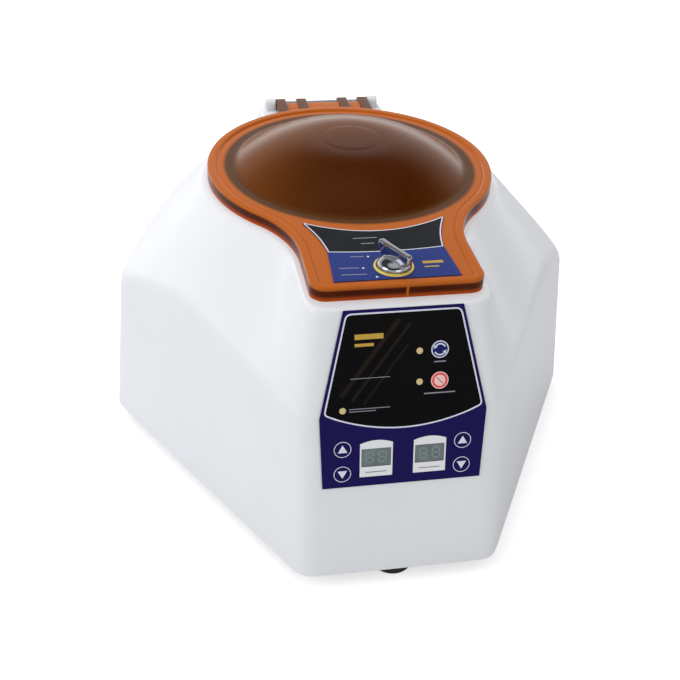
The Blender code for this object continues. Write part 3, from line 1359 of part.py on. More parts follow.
def make_inlet(rear):
    """Mains inlet with three blades in its recess, and the fuse drawer under it in the same flange."""
    across = INLET_ACROSS
    flange_width, flange_height, flange_depth = INLET_FLANGE
    body_width, body_height, body_depth = INLET_BODY
    low = SEAT_GAP
    face = low + flange_depth
    shape = bmesh.new()
    add_prism(shape, rounded_rectangle(flange_width, flange_height, 3 * mm), low, face)
    plastic = finish("inlet_plastic", "#17181A", 0.45)
    inlet = piece("power_inlet", shape, plastic, rear, (across, 0, 0), smooth=False)
    body = bmesh.new()
    add_box(body, (0, 0, low + (1 * mm - body_depth) / 2), (body_width, body_height, body_depth + 1 * mm))
    combine(inlet, tool("inlet_body_shape", body, rear, (across, 0, 0)), "UNION")
    recess = bmesh.new()
    width, height, depth = INLET_RECESS
    add_box(recess, (0, RECESS_UP, face - depth / 2 + CUT_OVER / 2), (width, height, depth + CUT_OVER))
    fuse_width, fuse_height, fuse_depth = FUSE_SIZE
    pocket = (fuse_width + 2 * SLIDE_GAP, fuse_height + 2 * SLIDE_GAP, fuse_depth + SEAT_GAP + CUT_OVER)
    add_box(recess, (0, -FUSE_DOWN, face + CUT_OVER - pocket[2] / 2), pocket)
    combine(inlet, tool("inlet_recess", recess, rear, (across, 0, 0)), "DIFFERENCE")
    blades = bmesh.new()
    foot = face - depth - 1 * mm
    head = face - 2 * mm
    for x, y in ((-7 * mm, -1.5 * mm), (0, 2.5 * mm), (7 * mm, -1.5 * mm)):
        add_box(blades, (x, RECESS_UP + y, (foot + head) / 2), (2 * mm, 4 * mm, head - foot))
    combine(inlet, tool("inlet_blades", blades, rear, (across, 0, 0)), "UNION")

    slide = holder("fuse_slide", rear, (across, -FUSE_DOWN, face + FUSE_PROUD))
    drawer = bmesh.new()
    low, high = -fuse_depth - FUSE_PROUD, 0
    add_box(drawer, (0, 0, (low + high) / 2), (fuse_width, fuse_height, high - low))
    fuse = piece("fuse_drawer", drawer, plastic, slide, smooth=False)
    tray = bmesh.new()
    size = (fuse_width - 3 * mm, fuse_height, fuse_depth - 5 * mm)
    add_box(tray, (0, 1.5 * mm, low + 2 * mm + size[2] / 2), size)
    combine(fuse, tool("fuse_tray", tray, slide), "DIFFERENCE")


def make_switch(rear, rocker_frame):
    """Rocker switch: a frame set in the back wall and the rocker that tips in it."""
    width, height, depth = SWITCH_BODY
    flange_width, flange_height, flange_depth = SWITCH_FLANGE
    low = SEAT_GAP
    face = low + flange_depth
    shape = bmesh.new()
    add_prism(shape, rounded_rectangle(flange_width, flange_height, 2 * mm), low, face)
    place = (SWITCH_ACROSS, 0, 0)
    frame = piece("switch_frame", shape, black_nylon(), rear, place, smooth=False)
    body = bmesh.new()
    add_box(body, (0, 0, low + (1 * mm - depth) / 2), (width, height, depth + 1 * mm))
    combine(frame, tool("switch_body_shape", body, rear, place), "UNION")
    well = bmesh.new()
    rocker_width, rocker_height = ROCKER_SIZE
    gap = 3 * SLIDE_GAP
    floor = face - depth + 3 * mm
    size = (rocker_width + 2 * gap, rocker_height + 2 * gap, face - floor + CUT_OVER)
    add_box(well, (0, 0, (floor + face + CUT_OVER) / 2), size)
    combine(frame, tool("switch_well", well, rear, place), "DIFFERENCE")

    half = rocker_height / 2
    wing = math.tan(ROCKER_TILT) * half
    keel = 5 * mm
    outline = [(-half, -keel + wing), (0, -keel), (half, -keel + wing), (half, 1 * mm + wing), (0, 1 * mm)]
    outline.append((-half, 1 * mm + wing))
    rocker = bmesh.new()
    add_prism(rocker, outline, -rocker_width / 2, rocker_width / 2, axis="X")
    piece("power_switch", rocker, finish("switch_red", "#8E1414", 0.35), rocker_frame, smooth=False)


def main():
    clear_scene()
    axis = holder("rotor_axis", None, (0, AXIS_Y, 0))
    upper = panel_frame(axis, "upper_facet", True)
    lower = panel_frame(axis, "lower_facet", False)
    rear = rear_frame(axis)

    housing = make_housing(axis, upper, lower, rear)
    upper_cut = panel_holes(upper, "upper_facet_cuts", UPPER_KEYS, LAMPS, {})
    lower_cut = panel_holes(lower, "lower_facet_cuts", LOWER_KEYS, {}, DISPLAY_CENTRES)
    combine(housing, upper_cut, "DIFFERENCE")
    combine(housing, lower_cut, "DIFFERENCE")
    make_panel_label(axis, upper_cut, lower_cut)
    colours = {name: "#120F2E" for name in LOWER_KEYS}
    colours |= {"run_key": "#27307A", "stop_key": "#C8323C"}
    make_keys(upper, UPPER_KEYS, colours)
    make_keys(lower, LOWER_KEYS, colours)
    make_lamps(upper, LAMPS)
    make_displays(lower)
    make_boards(upper, lower)

    hinge = holder("lid_hinge", axis, (0, HINGE_REACH, HINGE_HEIGHT))
    lid_frame = holder("lid_places", hinge, (0, -HINGE_REACH, -HINGE_HEIGHT))
    make_lid(lid_frame)
    make_lid_label(lid_frame)
    latch = holder("latch_turn", lid_frame, (0, -LATCH_REACH, 0))
    make_latch(lid_frame, latch)
    make_strike_plate(axis)
    plunger = holder("plunger_slide", axis, plunger_place())
    make_interlock(axis, plunger)
    make_hinge_pin(axis)

    make_chamber(axis)
    make_drive(axis)
    spin = holder("rotor_spin", axis)
    make_rotor(spin)
    make_tube_shields(spin)

    make_base(axis)
    make_inlet(rear)
    tipped = Matrix.Rotation(-ROCKER_TILT, 3, "X")
    rocker = holder("switch_rock", rear, (SWITCH_ACROSS, 0, SEAT_GAP + SWITCH_FLANGE[2] - 3 * mm), tipped)
    make_switch(rear, rocker)


main()
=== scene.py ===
"""The looks of a bench centrifuge for butterfat tests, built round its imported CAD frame.

Every new piece is a surface worked out with numpy in metres, in the row's own frame: +Z up, the keys and
displays face -Y, and the rotor's axis stands at x = 0, y = AXIS_Y.
"""

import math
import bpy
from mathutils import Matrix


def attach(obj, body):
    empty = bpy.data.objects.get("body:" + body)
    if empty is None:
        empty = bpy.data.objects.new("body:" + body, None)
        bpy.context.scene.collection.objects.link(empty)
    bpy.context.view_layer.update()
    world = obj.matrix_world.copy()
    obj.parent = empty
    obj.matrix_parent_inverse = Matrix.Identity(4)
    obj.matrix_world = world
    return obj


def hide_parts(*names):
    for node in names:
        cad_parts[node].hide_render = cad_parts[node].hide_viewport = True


bl_info = {
    "name": "Bench Butterfat Centrifuge",
    "version": (1, 0, 0),
    "blender": (4, 5, 0),
    "location": "3D View > Sidebar > Centrifuge",
    "description": "Builds the visible surfaces of a bench centrifuge round its CAD frame",
    "category": "Object",
}

import bmesh
import bpy
import numpy as np
from mathutils import Matrix, Vector

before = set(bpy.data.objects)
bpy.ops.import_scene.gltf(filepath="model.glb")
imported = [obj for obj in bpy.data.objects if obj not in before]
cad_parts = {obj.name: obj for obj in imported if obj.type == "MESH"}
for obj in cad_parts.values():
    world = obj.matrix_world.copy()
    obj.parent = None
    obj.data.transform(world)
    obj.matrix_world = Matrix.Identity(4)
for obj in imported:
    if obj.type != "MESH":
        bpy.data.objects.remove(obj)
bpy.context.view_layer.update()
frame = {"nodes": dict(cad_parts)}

mm = 0.001
HALF_TURN = math.pi
FULL_TURN = 2 * math.pi

# Places shared with the CAD frame
FOOT_HEIGHT = 12 * mm
FRONT, SIDE, REAR_SIDE, BACK = range(4)
WALL_AZIMUTHS = (-math.pi / 2, math.radians(-29.4), math.radians(34.7), math.pi / 2)
WALL_REACHES = (226 * mm, 168 * mm, 139.4 * mm, 150 * mm)
WALL_DRAFTS = (0.2035, 0.1087, 0.02, 0.0644)
AXIS_Y = (WALL_REACHES[FRONT] - WALL_REACHES[BACK]) / 2
AXIS = Matrix.Translation((0, AXIS_Y, 0))
DECK_HEIGHT, KINK_HEIGHT = 190.5 * mm, 125 * mm
PANEL_TOP_REACH = 181.4 * mm
KINK_REACH = WALL_REACHES[FRONT] - WALL_DRAFTS[FRONT] * (KINK_HEIGHT - FOOT_HEIGHT)
UPPER_LEAN = math.atan2(KINK_REACH - PANEL_TOP_REACH, DECK_HEIGHT - KINK_HEIGHT)
LOWER_LEAN = math.atan(WALL_DRAFTS[FRONT])
RIDGE_HEIGHT, RIDGE_ALONG, REAR_RIDGE_ALONG = 137.6 * mm, -66.4 * mm, 55 * mm
CONE_SLOPE = 1.08
BACK_CREASE_HEIGHT = 132 * mm
SHELL_CORNER = 14 * mm
LID_RADIUS = 104 * mm
TONGUE_HALF_WIDTH, TONGUE_REACH, TONGUE_CORNER = 55.5 * mm, 171 * mm, 10 * mm
NECK_RADIUS = 80 * mm
LEDGE = 4 * mm
TAB_HALF_WIDTH, TAB_REACH, TAB_CORNER, TAB_NECK_RADIUS = 50 * mm, 138.5 * mm, 8 * mm, 12 * mm
OPENING_RADIUS = 85 * mm
HINGE_REACH, HINGE_HEIGHT = 127.3 * mm, 194.5 * mm
LID_BOTTOM, LID_TOP, CHANNEL_TOP = 190.8 * mm, 200.5 * mm, 199.3 * mm
LATCH_REACH = 149.7 * mm
LATCH_AXIS = Matrix.Translation((0, AXIS_Y - LATCH_REACH, 0))
LABEL_FACE = 1.1 * mm  # the panel label's face, out from the housing
LID_LABEL_LOW, LID_LABEL_TOP = CHANNEL_TOP + 0.3 * mm, CHANNEL_TOP + 0.8 * mm
INK = 0.03 * mm  # thickness of a printed layer


def linear(colour):
    """An sRGB hex colour as linear red, green and blue."""
    channels = [int(colour[i : i + 2], 16) / 255 for i in (1, 3, 5)]
    return tuple(c / 12.92 if c <= 0.04045 else ((c + 0.055) / 1.055) ** 2.4 for c in channels)


def swatch(label, about, colour):
    """A colour in a settings group."""
    return bpy.props.FloatVectorProperty(
        name=label, description=about, subtype="COLOR", size=3, min=0, max=1, default=linear(colour)
    )


def length(label, about, default):
    """A length in metres in a settings group."""
    return bpy.props.FloatProperty(
        name=label, description=about, unit="LENGTH", min=0, precision=5, default=default
    )


class HousingSettings(bpy.types.PropertyGroup):
    shell_colour: swatch("Shell", "Colour of the white shell", "#E6E8EC")
    wall: length("Wall", "Thickness of the shell", 3.5 * mm)
    crease_softening: length("Crease", "How soft the edge between wall and shoulder is", 8 * mm)
    panel_softening: length("Panel crease", "How soft the bend across the front is", 5 * mm)
    deck_softening: length("Deck edge", "How soft the deck's edge is", 4 * mm)
    rubber_colour: swatch("Feet", "Colour of the rubber feet", "#141414")


class LidSettings(bpy.types.PropertyGroup):
    rim_colour: swatch("Rim", "Amber over the white deck", "#BC6222")
    band_colour: swatch("Band", "Amber over the gasket", "#563419")
    # Painted shade: the chamber under the dome lies in shade, painted here as deep brown
    dome_colour: swatch("Dome", "Amber over the chamber's dark middle", "#461C01")
    # Painted light: the chamber's far wall, lit from above, painted as a lighter brown at the dome's back
    lit_brim_colour: swatch("Dome's edge", "Amber over the chamber's lighter wall", "#6C3A0E")
    # Painted shade: the shade inside the skirt, painted as dark red
    skirt_colour: swatch("Skirt", "Amber seen through its edge", "#4A1808")
    # Painted light: lamp light passing through the lid, painted as a glow at the skirt's foot
    glow_colour: swatch("Glow", "Amber at the skirt's foot, lit through from above", "#B24A16")
    dome_rise: length("Dome rise", "Height of the dome over the rim", 20 * mm)
    wall: length("Wall", "Thickness of the moulding", 3 * mm)


class PanelSettings(bpy.types.PropertyGroup):
    field_colour: swatch("Field", "Ground behind the run and stop keys", "#050406")
    border_colour: swatch("Border", "Ground behind the displays and round the field", "#1A1252")
    line_colour: swatch("Lines", "Printed lines and arrows", "#DDE0EE")
    stripe_colour: swatch("Stripes", "Faint stripes printed on the field", "#211A13")
    rule_colour: swatch("Rules", "Thin rules printed beside the keys, lamps and displays", "#8F919C")
    gold_colour: swatch("Gold", "Gold bars printed on the field and on the lid's sheet", "#C39F45")
    line_width: length("Line width", "Width of the printed border line", 1.0 * mm)
    run_colour: swatch("Run key", "Colour of the run key", "#1B2461")
    stop_colour: swatch("Stop key", "Colour of the stop key", "#E0575B")
    lamp_colour: swatch("Lamps", "Colour of the lamp lenses", "#D9C48A")
    glass_colour: swatch("Displays", "Colour of the display glass", "#6E797B")


class LatchSettings(bpy.types.PropertyGroup):
    sheet_colour: swatch("Sheet", "Ground of the printed sheet on the lid", "#2C3C7E")
    zone_colour: swatch("Zone", "Ground of the sheet's upper zone", "#1B1E23")
    ring_colour: swatch("Ring", "Colour of the ring round the knob", "#DFC765")
    bar_length: length("Bar", "Length of the bar handle", 29 * mm)


class ChamberSettings(bpy.types.PropertyGroup):
    rotor_colour: swatch("Rotor", "Colour of the cast rotor", "#A9ACAF")
    shield_colour: swatch("Shields", "Colour of the tube shields", "#C3C6C9")
    bowl_colour: swatch("Bowl", "Colour of the spun bowl", "#D2D5D8")


class StageSettings(bpy.types.PropertyGroup):
    floor_colour: swatch("Floor", "Colour of the floor", "#F4F4F6")
    key_power: bpy.props.FloatProperty(
        name="Key light", description="Power of the main soft light, in watts", min=0, default=9.0
    )


# Meshes


def smooth(data, angle):
    """Smooth shading with hard edges where two faces meet at more than the angle."""
    data.shade_smooth()
    data.set_sharp_from_angle(angle=math.radians(angle))


def mesh_object(name, points, faces, smooth_angle=40):
    """An object from arrays of points and of quads, its doubles merged and its faces turned outward."""
    data = bpy.data.meshes.new(name)
    data.from_pydata(points.tolist(), [], faces.tolist())
    work = bmesh.new()
    work.from_mesh(data)
    bmesh.ops.remove_doubles(work, verts=work.verts, dist=1e-6)
    bmesh.ops.recalc_face_normals(work, faces=work.faces)
    work.to_mesh(data)
    work.free()
    smooth(data, smooth_angle)
    made = bpy.data.objects.new(name, data)
    bpy.context.scene.collection.objects.link(made)
    return made


def surfaces(name, grids, closed=False, smooth_angle=40):
    """One object from grids, each an array of rows, columns and coordinates. Columns always wrap round."""
    points, faces, first = [], [], 0
    for grid in grids:
        rows, columns, _ = grid.shape
        r = np.arange(rows if closed else rows - 1)[:, None]
        c = np.arange(columns)
        r2, c2 = (r + 1) % rows, (c + 1) % columns
        corners = (r * columns + c, r * columns + c2, r2 * columns + c2, r2 * columns + c)
        faces.append(first + np.stack([corner.ravel() for corner in corners], axis=1))
        points.append(grid.reshape(-1, 3))
        first += rows * columns
    return mesh_object(name, np.concatenate(points), np.concatenate(faces), smooth_angle)


def repaint(made, material):
    """Gives a piece or a CAD node its material."""
    made.data.materials.clear()
    made.data.materials.append(material)


def dress(made, material, body, *nodes, slot=None):
    """Gives a piece its material and its body, and hides the CAD nodes that it stands for."""
    repaint(made, material)
    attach(made, body)
    if nodes:
        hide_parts(*nodes)


def piece(name, grids, material, body, *nodes, slot=None, closed=False):
    """One dressed object from grids."""
    dress(surfaces(name, grids, closed), material, body, *nodes, slot=slot)


def bend(before, corner, after, reach, steps):
    """A quadratic curve round one corner or an array of them, from reach before it to reach after it."""
    start, end = (
        corner + (side - corner) / np.linalg.norm(side - corner, axis=-1, keepdims=True) * reach
        for side in (before, after)
    )
    f = np.linspace(0, 1, steps + 1).reshape(-1, *[1] * corner.ndim)
    return (1 - f) ** 2 * start + 2 * f * (1 - f) * corner + f**2 * end


def rounded(corners, radii, steps=6, closed=False):
    """A line through corners, each made a quadratic curve that begins and ends at its radius from it."""
    corners = np.array(corners, float)
    count = len(corners)
    parts = []
    for i, (corner, radius) in enumerate(zip(corners, np.broadcast_to(radii, count))):
        if radius == 0 or (not closed and i in (0, count - 1)):
            parts.append(corner[None])
        else:
            parts.append(bend(corners[i - 1], corner, corners[(i + 1) % count], radius, steps))
    return np.concatenate(parts)


def arc(centre, radius, start, end, steps):
    """Points on an arc, both ends included: centre plus radius at evenly spaced angles."""
    a = np.linspace(start, end, steps + 1)
    return np.stack([centre[0] + radius * np.cos(a), centre[1] + radius * np.sin(a)], axis=1)


def line(start, end, steps):
    """Points on a straight line, both ends included."""
    f = np.linspace(0, 1, steps + 1)[:, None]
    return (1 - f) * np.asarray(start, float) + f * np.asarray(end, float)


def between(first, last, steps, skip=0):
    """Rings evenly spaced from one ring towards another, without the last one and without the first skip."""
    f = np.linspace(0, 1, steps + 1)[skip:-1, None, None]
    return (1 - f) * first + f * last


def raised(flat, height):
    """A line of flat points at a height, or at one height each."""
    return np.column_stack([flat, np.broadcast_to(height, len(flat))])


def mirrored(half, flip):
    """A closed ring of a right half, whose ends lie in the middle plane, and its mirror image."""
    return np.concatenate([half, half[-2:0:-1] * flip])


def placed(grid, matrix):
    """A grid of points carried by a matrix."""
    m = np.array(matrix)
    return grid @ m[:3, :3].T + m[:3, 3]


def revolved(profile, sides, matrix=AXIS):
    """A profile of radius and height turned about a frame's z axis: x = r cos a, y = r sin a, z = h."""
    profile = np.asarray(profile, float)
    a = np.linspace(0, FULL_TURN, sides, endpoint=False)
    r, h = profile[:, :1], profile[:, 1:]
    return placed(np.stack([r * np.cos(a), r * np.sin(a), h + 0 * a], axis=2), matrix)


def capped_prism(outline, low, high, along="X", bevel=0.0, steps=3):
    """An outline carried along an axis, its ends drawn to its middle, its end edges rounded by shrinking."""
    outline = np.asarray(outline, float)
    middle = outline.mean(axis=0)
    towards = middle - outline
    towards /= np.linalg.norm(towards, axis=1, keepdims=True)
    turns = np.linspace(0, math.pi / 2, steps + 1)
    rings = [outline + towards * inset for inset in bevel * (1 - np.sin(turns))]
    point = np.broadcast_to(middle, outline.shape)
    rings = (point, *rings, *rings[::-1], point)
    depth = bevel * (1 - np.cos(turns))
    places = (low, *(low + depth), *(high - depth[::-1]), high)
    grid = np.stack([raised(ring, place) for ring, place in zip(rings, places)])
    return grid[:, :, [2, 0, 1]] if along == "X" else grid


def rounded_box(size, radius, steps):
    """An outline of a rectangle with round corners."""
    x, y = size[0] / 2, size[1] / 2
    return rounded([(-x, -y), (x, -y), (x, y), (-x, y)], radius, steps, closed=True)


def cut_away(made, *cutters, smooth_angle):
    """Cuts other closed objects out of a piece, removes them and marks the sharp edges again."""
    for cutter in cutters:
        modifier = made.modifiers.new("cut", "BOOLEAN")
        modifier.operation = "DIFFERENCE"
        modifier.object = cutter
        modifier.solver = "EXACT"
    graph = bpy.context.evaluated_depsgraph_get()
    data = bpy.data.meshes.new_from_object(made.evaluated_get(graph))
    made.modifiers.clear()
    made.data = data
    for cutter in cutters:
        bpy.data.objects.remove(cutter, do_unlink=True)
    smooth(data, smooth_angle)


# The panel's two facets


def panel_point(across, along, out):
    """A point over the panel: a positive along runs up the upper facet, a negative one down the lower facet.

    The place is the kink plus along times the facet's own up direction plus out times its outward normal.
    """
    across, along, out = np.broadcast_arrays(*(np.asarray(v, float) for v in (across, along, out)))
    lean = np.where(along >= 0, UPPER_LEAN, LOWER_LEAN)
    y = AXIS_Y - KINK_REACH + along * np.sin(lean) - out * np.cos(lean)
    z = KINK_HEIGHT + along * np.cos(lean) + out * np.sin(lean)
    return np.stack([across, y, z], axis=-1)


def facet_matrix(across, along):
    """The frame of a round key or lamp: its z is the facet's outward normal and its y runs up the facet."""
    lean = UPPER_LEAN if along >= 0 else LOWER_LEAN
    return Matrix.Translation(panel_point(across, along, 0)) @ Matrix.Rotation(math.pi / 2 - lean, 4, "X")


# Plates, ribbons and discs laid on a face


def on_matrix(matrix):
    """Turns across, along and height in a frame into points."""
    return lambda *place: placed(np.stack(np.broadcast_arrays(*place), axis=-1), matrix)


on_lid = on_matrix(AXIS)


def plate(left, right, low, high, lay, closed=False):
    """A thin closed plate between two lines of equal count, from height low to high over a face.

    Each cross-section is the rectangle left low, left high, right high, right low. lay turns across, along
    and height into points.
    """
    left, right = np.asarray(left, float), np.asarray(right, float)
    corners = ((left, low), (left, high), (right, high), (right, low))
    grid = np.stack([lay(edge[:, 0], edge[:, 1], height) for edge, height in corners], axis=1)
    if closed:
        return grid
    first, last = (np.broadcast_to(end.mean(axis=0), (1, 4, 3)) for end in (grid[0], grid[-1]))
    return np.concatenate([first, grid, last])


def ribbon(path, width, low, high, lay, closed=True):
    """A plate along a path, whose sides are the path plus or minus half the width along its normal."""
    path = np.asarray(path, float)
    along = np.roll(path, -1, axis=0) - np.roll(path, 1, axis=0) if closed else np.gradient(path, axis=0)
    along /= np.linalg.norm(along, axis=1, keepdims=True)
    normal = np.column_stack([-along[:, 1], along[:, 0]])
    return plate(path - normal * width / 2, path + normal * width / 2, low, high, lay, closed)


def straight_lines(rows, low, high, lay):
    """A flat bar for each row of a start, an end and a width."""
    return [ribbon([(x, y), (x2, y2)], width, low, high, lay, closed=False) for x, y, x2, y2, width in rows]


def dense(path, step):
    """A closed path with more points, evenly spaced along its length."""
    path = np.concatenate([path, path[:1]])
    lengths = np.concatenate([[0], np.cumsum(np.linalg.norm(np.diff(path, axis=0), axis=1))])
    at = np.linspace(0, lengths[-1], int(lengths[-1] / step) + 1)
    return np.column_stack([np.interp(at, lengths, path[:, i]) for i in range(2)])[:-1]


def disc(radius, low, high, lay, sides=48, inner=1e-5, start=0.0, end=FULL_TURN):
    """A flat ring or disc of an inner and an outer radius, all round or from one angle to another."""
    closed = end - start == FULL_TURN
    a = np.linspace(start, end, sides, endpoint=not closed)
    round_line = np.column_stack([np.cos(a), np.sin(a)])
    return plate(round_line * inner, round_line * radius, low, high, lay, closed)


# The housing

SHELL_COUNTS = {
    "front": 14,
    "front corner": 8,
    "tongue side": 8,
    "neck": 18,
    "shoulder": 34,
    "widest corner": 8,
    "rear shoulder": 36,
    "tab neck": 8,
    "tab side": 6,
    "back corner": 8,
    "back": 12,
}
WIDEST_TURN = 0.05  # half the angle of deck edge that belongs to the widest corner
RIDGE_FADE = 0.7  # share of the shoulder over which the ridge's slope becomes the cone's
SHELL_SOFTNESS = 1.6  # columns that a ridge is spread over
# Stretches of the deck's edge that share a stretch of wall, with the shares of it where each begins and ends
SHARED_WALLS = {
    "tongue side": ("cheek", 0.0, 0.42),
    "neck": ("cheek", 0.42, 1.0),
    "tab neck": ("rear cheek", 0.0, 0.4),
    "tab side": ("rear cheek", 0.4, 1.0),
}
EAR_WIDTH, EAR_RADIUS, EAR_CENTRE, EAR_BEVEL = 8 * mm, 4.6 * mm, 42.3 * mm, 0.8 * mm
RUN_PLACE, STOP_PLACE = (22.8 * mm, 40.9 * mm), (22.8 * mm, 20.7 * mm)
ARROW_KEYS = {
    "time_up_key": (-39 * mm, -21.6 * mm),
    "time_down_key": (-39 * mm, -39.2 * mm),
    "speed_up_key": (39 * mm, -21.6 * mm),
    "speed_down_key": (39 * mm, -39.2 * mm),
}
LAMP_PLACES = {
    "run_lamp": (9.9 * mm, 40.7 * mm),
    "stop_lamp": (9.9 * mm, 20.6 * mm),
    "lid_lamp": (-39 * mm, 5 * mm),
}
KEY_RADIUS, LAMP_RADIUS = 5.7 * mm, 2.1 * mm
DISPLAY_SIZE, DISPLAY_ALONG = (19 * mm, 12.7 * mm), -28.9 * mm
DISPLAY_PLACES = (-17.2 * mm, 17.6 * mm)
HOLE_GAP, PRINT_GAP = 0.3 * mm, 0.2 * mm
PLUG_DEPTH, PRINT_PLUG_DEPTH = 6 * mm, 4 * mm
BACK_WALL_HEIGHT = 78 * mm
# The inlet's and the switch's openings: place across the wall, and size
BACK_OPENINGS = ((-28 * mm, (28.6 * mm, 30.6 * mm)), (36 * mm, (18.6 * mm, 26.6 * mm)))
CAM_SLOT = (26 * mm, 10 * mm)


def wall_reach(wall, z):
    """How far a drafted wall stands out from the rotor's axis at a height."""
    return WALL_REACHES[wall] - WALL_DRAFTS[wall] * (z - FOOT_HEIGHT)


def wall_point(wall, along, z):
    """A point on a drafted wall: its outward direction times its reach there, plus a distance along it."""
    azimuth, reach = WALL_AZIMUTHS[wall], wall_reach(wall, z)
    x = math.cos(azimuth) * reach - math.sin(azimuth) * along
    y = math.sin(azimuth) * reach + math.cos(azimuth) * along
    return np.stack([x, y], axis=-1)


def corner_point(first, second, f, z):
    """A point on the round corner between two walls.

    It is the walls' meeting point, less the corner's own offset, plus the radius in the direction that turns
    from the first wall's normal to the second's as f goes from 0 to 1.
    """
    a, b = WALL_AZIMUTHS[first], WALL_AZIMUTHS[second]
    ra, rb = wall_reach(first, z), wall_reach(second, z)
    middle, turn = (a + b) / 2, a + f * (b - a)
    back_off = SHELL_CORNER / math.cos((b - a) / 2)
    x = (ra * math.sin(b) - rb * math.sin(a)) / math.sin(b - a)
    y = (rb * math.cos(a) - ra * math.cos(b)) / math.sin(b - a)
    x = x - back_off * math.cos(middle) + SHELL_CORNER * np.cos(turn)
    y = y - back_off * math.sin(middle) + SHELL_CORNER * np.sin(turn)
    return np.stack([x, y], axis=-1)


# Each straight stretch of the wall, as the functions and values that give its front and its back end
SPANS = {
    "front": ((wall_point, FRONT, 0), (corner_point, FRONT, SIDE, 0)),
    "cheek": ((corner_point, FRONT, SIDE, 1), (wall_point, SIDE, RIDGE_ALONG)),
    "shoulder": ((wall_point, SIDE, RIDGE_ALONG), (corner_point, SIDE, REAR_SIDE, 0)),
    "rear shoulder": ((corner_point, SIDE, REAR_SIDE, 1), (wall_point, REAR_SIDE, REAR_RIDGE_ALONG)),
    "rear cheek": ((wall_point, REAR_SIDE, REAR_RIDGE_ALONG), (corner_point, REAR_SIDE, BACK, 0)),
    "back": ((corner_point, REAR_SIDE, BACK, 1), (wall_point, BACK, 0)),
}
CORNERS = {
    "front corner": (FRONT, SIDE),
    "widest corner": (SIDE, REAR_SIDE),
    "back corner": (REAR_SIDE, BACK),
}


def span_point(span, f, z):
    """A point on one named stretch of the wall, f from 0 at its front end to 1 at its back end."""
    z = np.broadcast_to(z, f.shape)
    if span in CORNERS:
        return corner_point(*CORNERS[span], f, z)
    start, end = (point(*where, z) for point, *where in SPANS[span])
    return (1 - f[:, None]) * start + f[:, None] * end


def crease_heights(span, f):
    """Height at which each column of the wall turns inward.

    It is level round the front and the back, rises evenly along the cheek, and elsewhere is where the wall
    meets the cone: the deck less the slope times the distance outside the deck's round edge.
    """
    if span in ("front", "front corner"):
        return KINK_HEIGHT + 0 * f
    if span == "cheek":
        return KINK_HEIGHT + f * (RIDGE_HEIGHT - KINK_HEIGHT)
    if span in ("back corner", "back"):
        return BACK_CREASE_HEIGHT + 0 * f
    slope = CONE_SLOPE
    if span == "shoulder":
        ridge = wall_point(SIDE, RIDGE_ALONG, RIDGE_HEIGHT)
        ridge_slope = (DECK_HEIGHT - RIDGE_HEIGHT) / (math.hypot(*ridge) - LID_RADIUS - LEDGE)
        slope = ridge_slope + np.clip(f / RIDGE_FADE, 0, 1) * (CONE_SLOPE - ridge_slope)
    height = RIDGE_HEIGHT
    for _ in range(20):
        point = span_point(span, 0 * f if span == "rear cheek" else f, height)
        height = DECK_HEIGHT - slope * (np.hypot(point[:, 0], point[:, 1]) - LID_RADIUS - LEDGE)
    if span == "rear cheek":
        height = height + f * (BACK_CREASE_HEIGHT - height)
    return height


def keyhole_front(grow, reach, counts):
    """The right half of the lid's tongue and neck: front, round corner, straight side and concave arc."""
    across = TONGUE_HALF_WIDTH + NECK_RADIUS
    back = -math.sqrt((LID_RADIUS + NECK_RADIUS) ** 2 - across**2)
    azimuth = math.atan2(back, across)
    half, corner = TONGUE_HALF_WIDTH + grow, max(TONGUE_CORNER + grow, 1.5 * mm)
    spans = (
        ("front", line, (0, -reach), (half - corner, -reach)),
        ("front corner", arc, (half - corner, corner - reach), corner, -math.pi / 2, 0),
        ("tongue side", line, (half, corner - reach), (half, back)),
        ("neck", arc, (across, back), NECK_RADIUS - grow, HALF_TURN, HALF_TURN + azimuth),
    )
    return {name: drawn(*where, counts[name]) for name, drawn, *where in spans}, azimuth


def shell_columns():
    """Foot, crease, deck edge and softness of the crease, for each column round the whole shell."""
    top, azimuth = keyhole_front(LEDGE, PANEL_TOP_REACH, SHELL_COUNTS)
    radius = LID_RADIUS + LEDGE
    across = TAB_HALF_WIDTH + TAB_NECK_RADIUS
    along = math.sqrt((radius + TAB_NECK_RADIUS) ** 2 - across**2)
    turn = math.atan2(along, across)
    inner = (TAB_HALF_WIDTH - TAB_CORNER, TAB_REACH - TAB_CORNER)
    spans = (
        ("shoulder", arc, (0, 0), radius, azimuth, -WIDEST_TURN),
        ("widest corner", arc, (0, 0), radius, -WIDEST_TURN, WIDEST_TURN),
        ("rear shoulder", arc, (0, 0), radius, WIDEST_TURN, turn),
        ("tab neck", arc, (across, along), TAB_NECK_RADIUS, HALF_TURN + turn, HALF_TURN),
        ("tab side", line, (TAB_HALF_WIDTH, along), (TAB_HALF_WIDTH, inner[1])),
        ("back corner", arc, inner, TAB_CORNER, 0, math.pi / 2),
        ("back", line, (inner[0], TAB_REACH), (0, TAB_REACH)),
    )
    top.update({name: drawn(*where, SHELL_COUNTS[name]) for name, drawn, *where in spans})
    feet, creases, edges, softness = [], [], [], []
    for span, points in top.items():
        wall, low, high = SHARED_WALLS.get(span, (span, 0.0, 1.0))
        keep = slice(None, None if span == "back" else -1)
        f = np.linspace(low, high, SHELL_COUNTS[span] + 1)[keep]
        heights = crease_heights(wall, f)
        feet.append(raised(span_point(wall, f, FOOT_HEIGHT), FOOT_HEIGHT))
        creases.append(raised(span_point(wall, f, heights), heights))
        edges.append(raised(points[keep], DECK_HEIGHT))
        soft = {"front": 0 * f, "front corner": 0 * f, "cheek": f}.get(wall, 1 + 0 * f)
        softness.append(soft[:, None])
    rings = [mirrored(np.concatenate(part), (-1, 1, 1)) for part in (feet, creases, edges)]
    return (*rings, mirrored(np.concatenate(softness), 1))


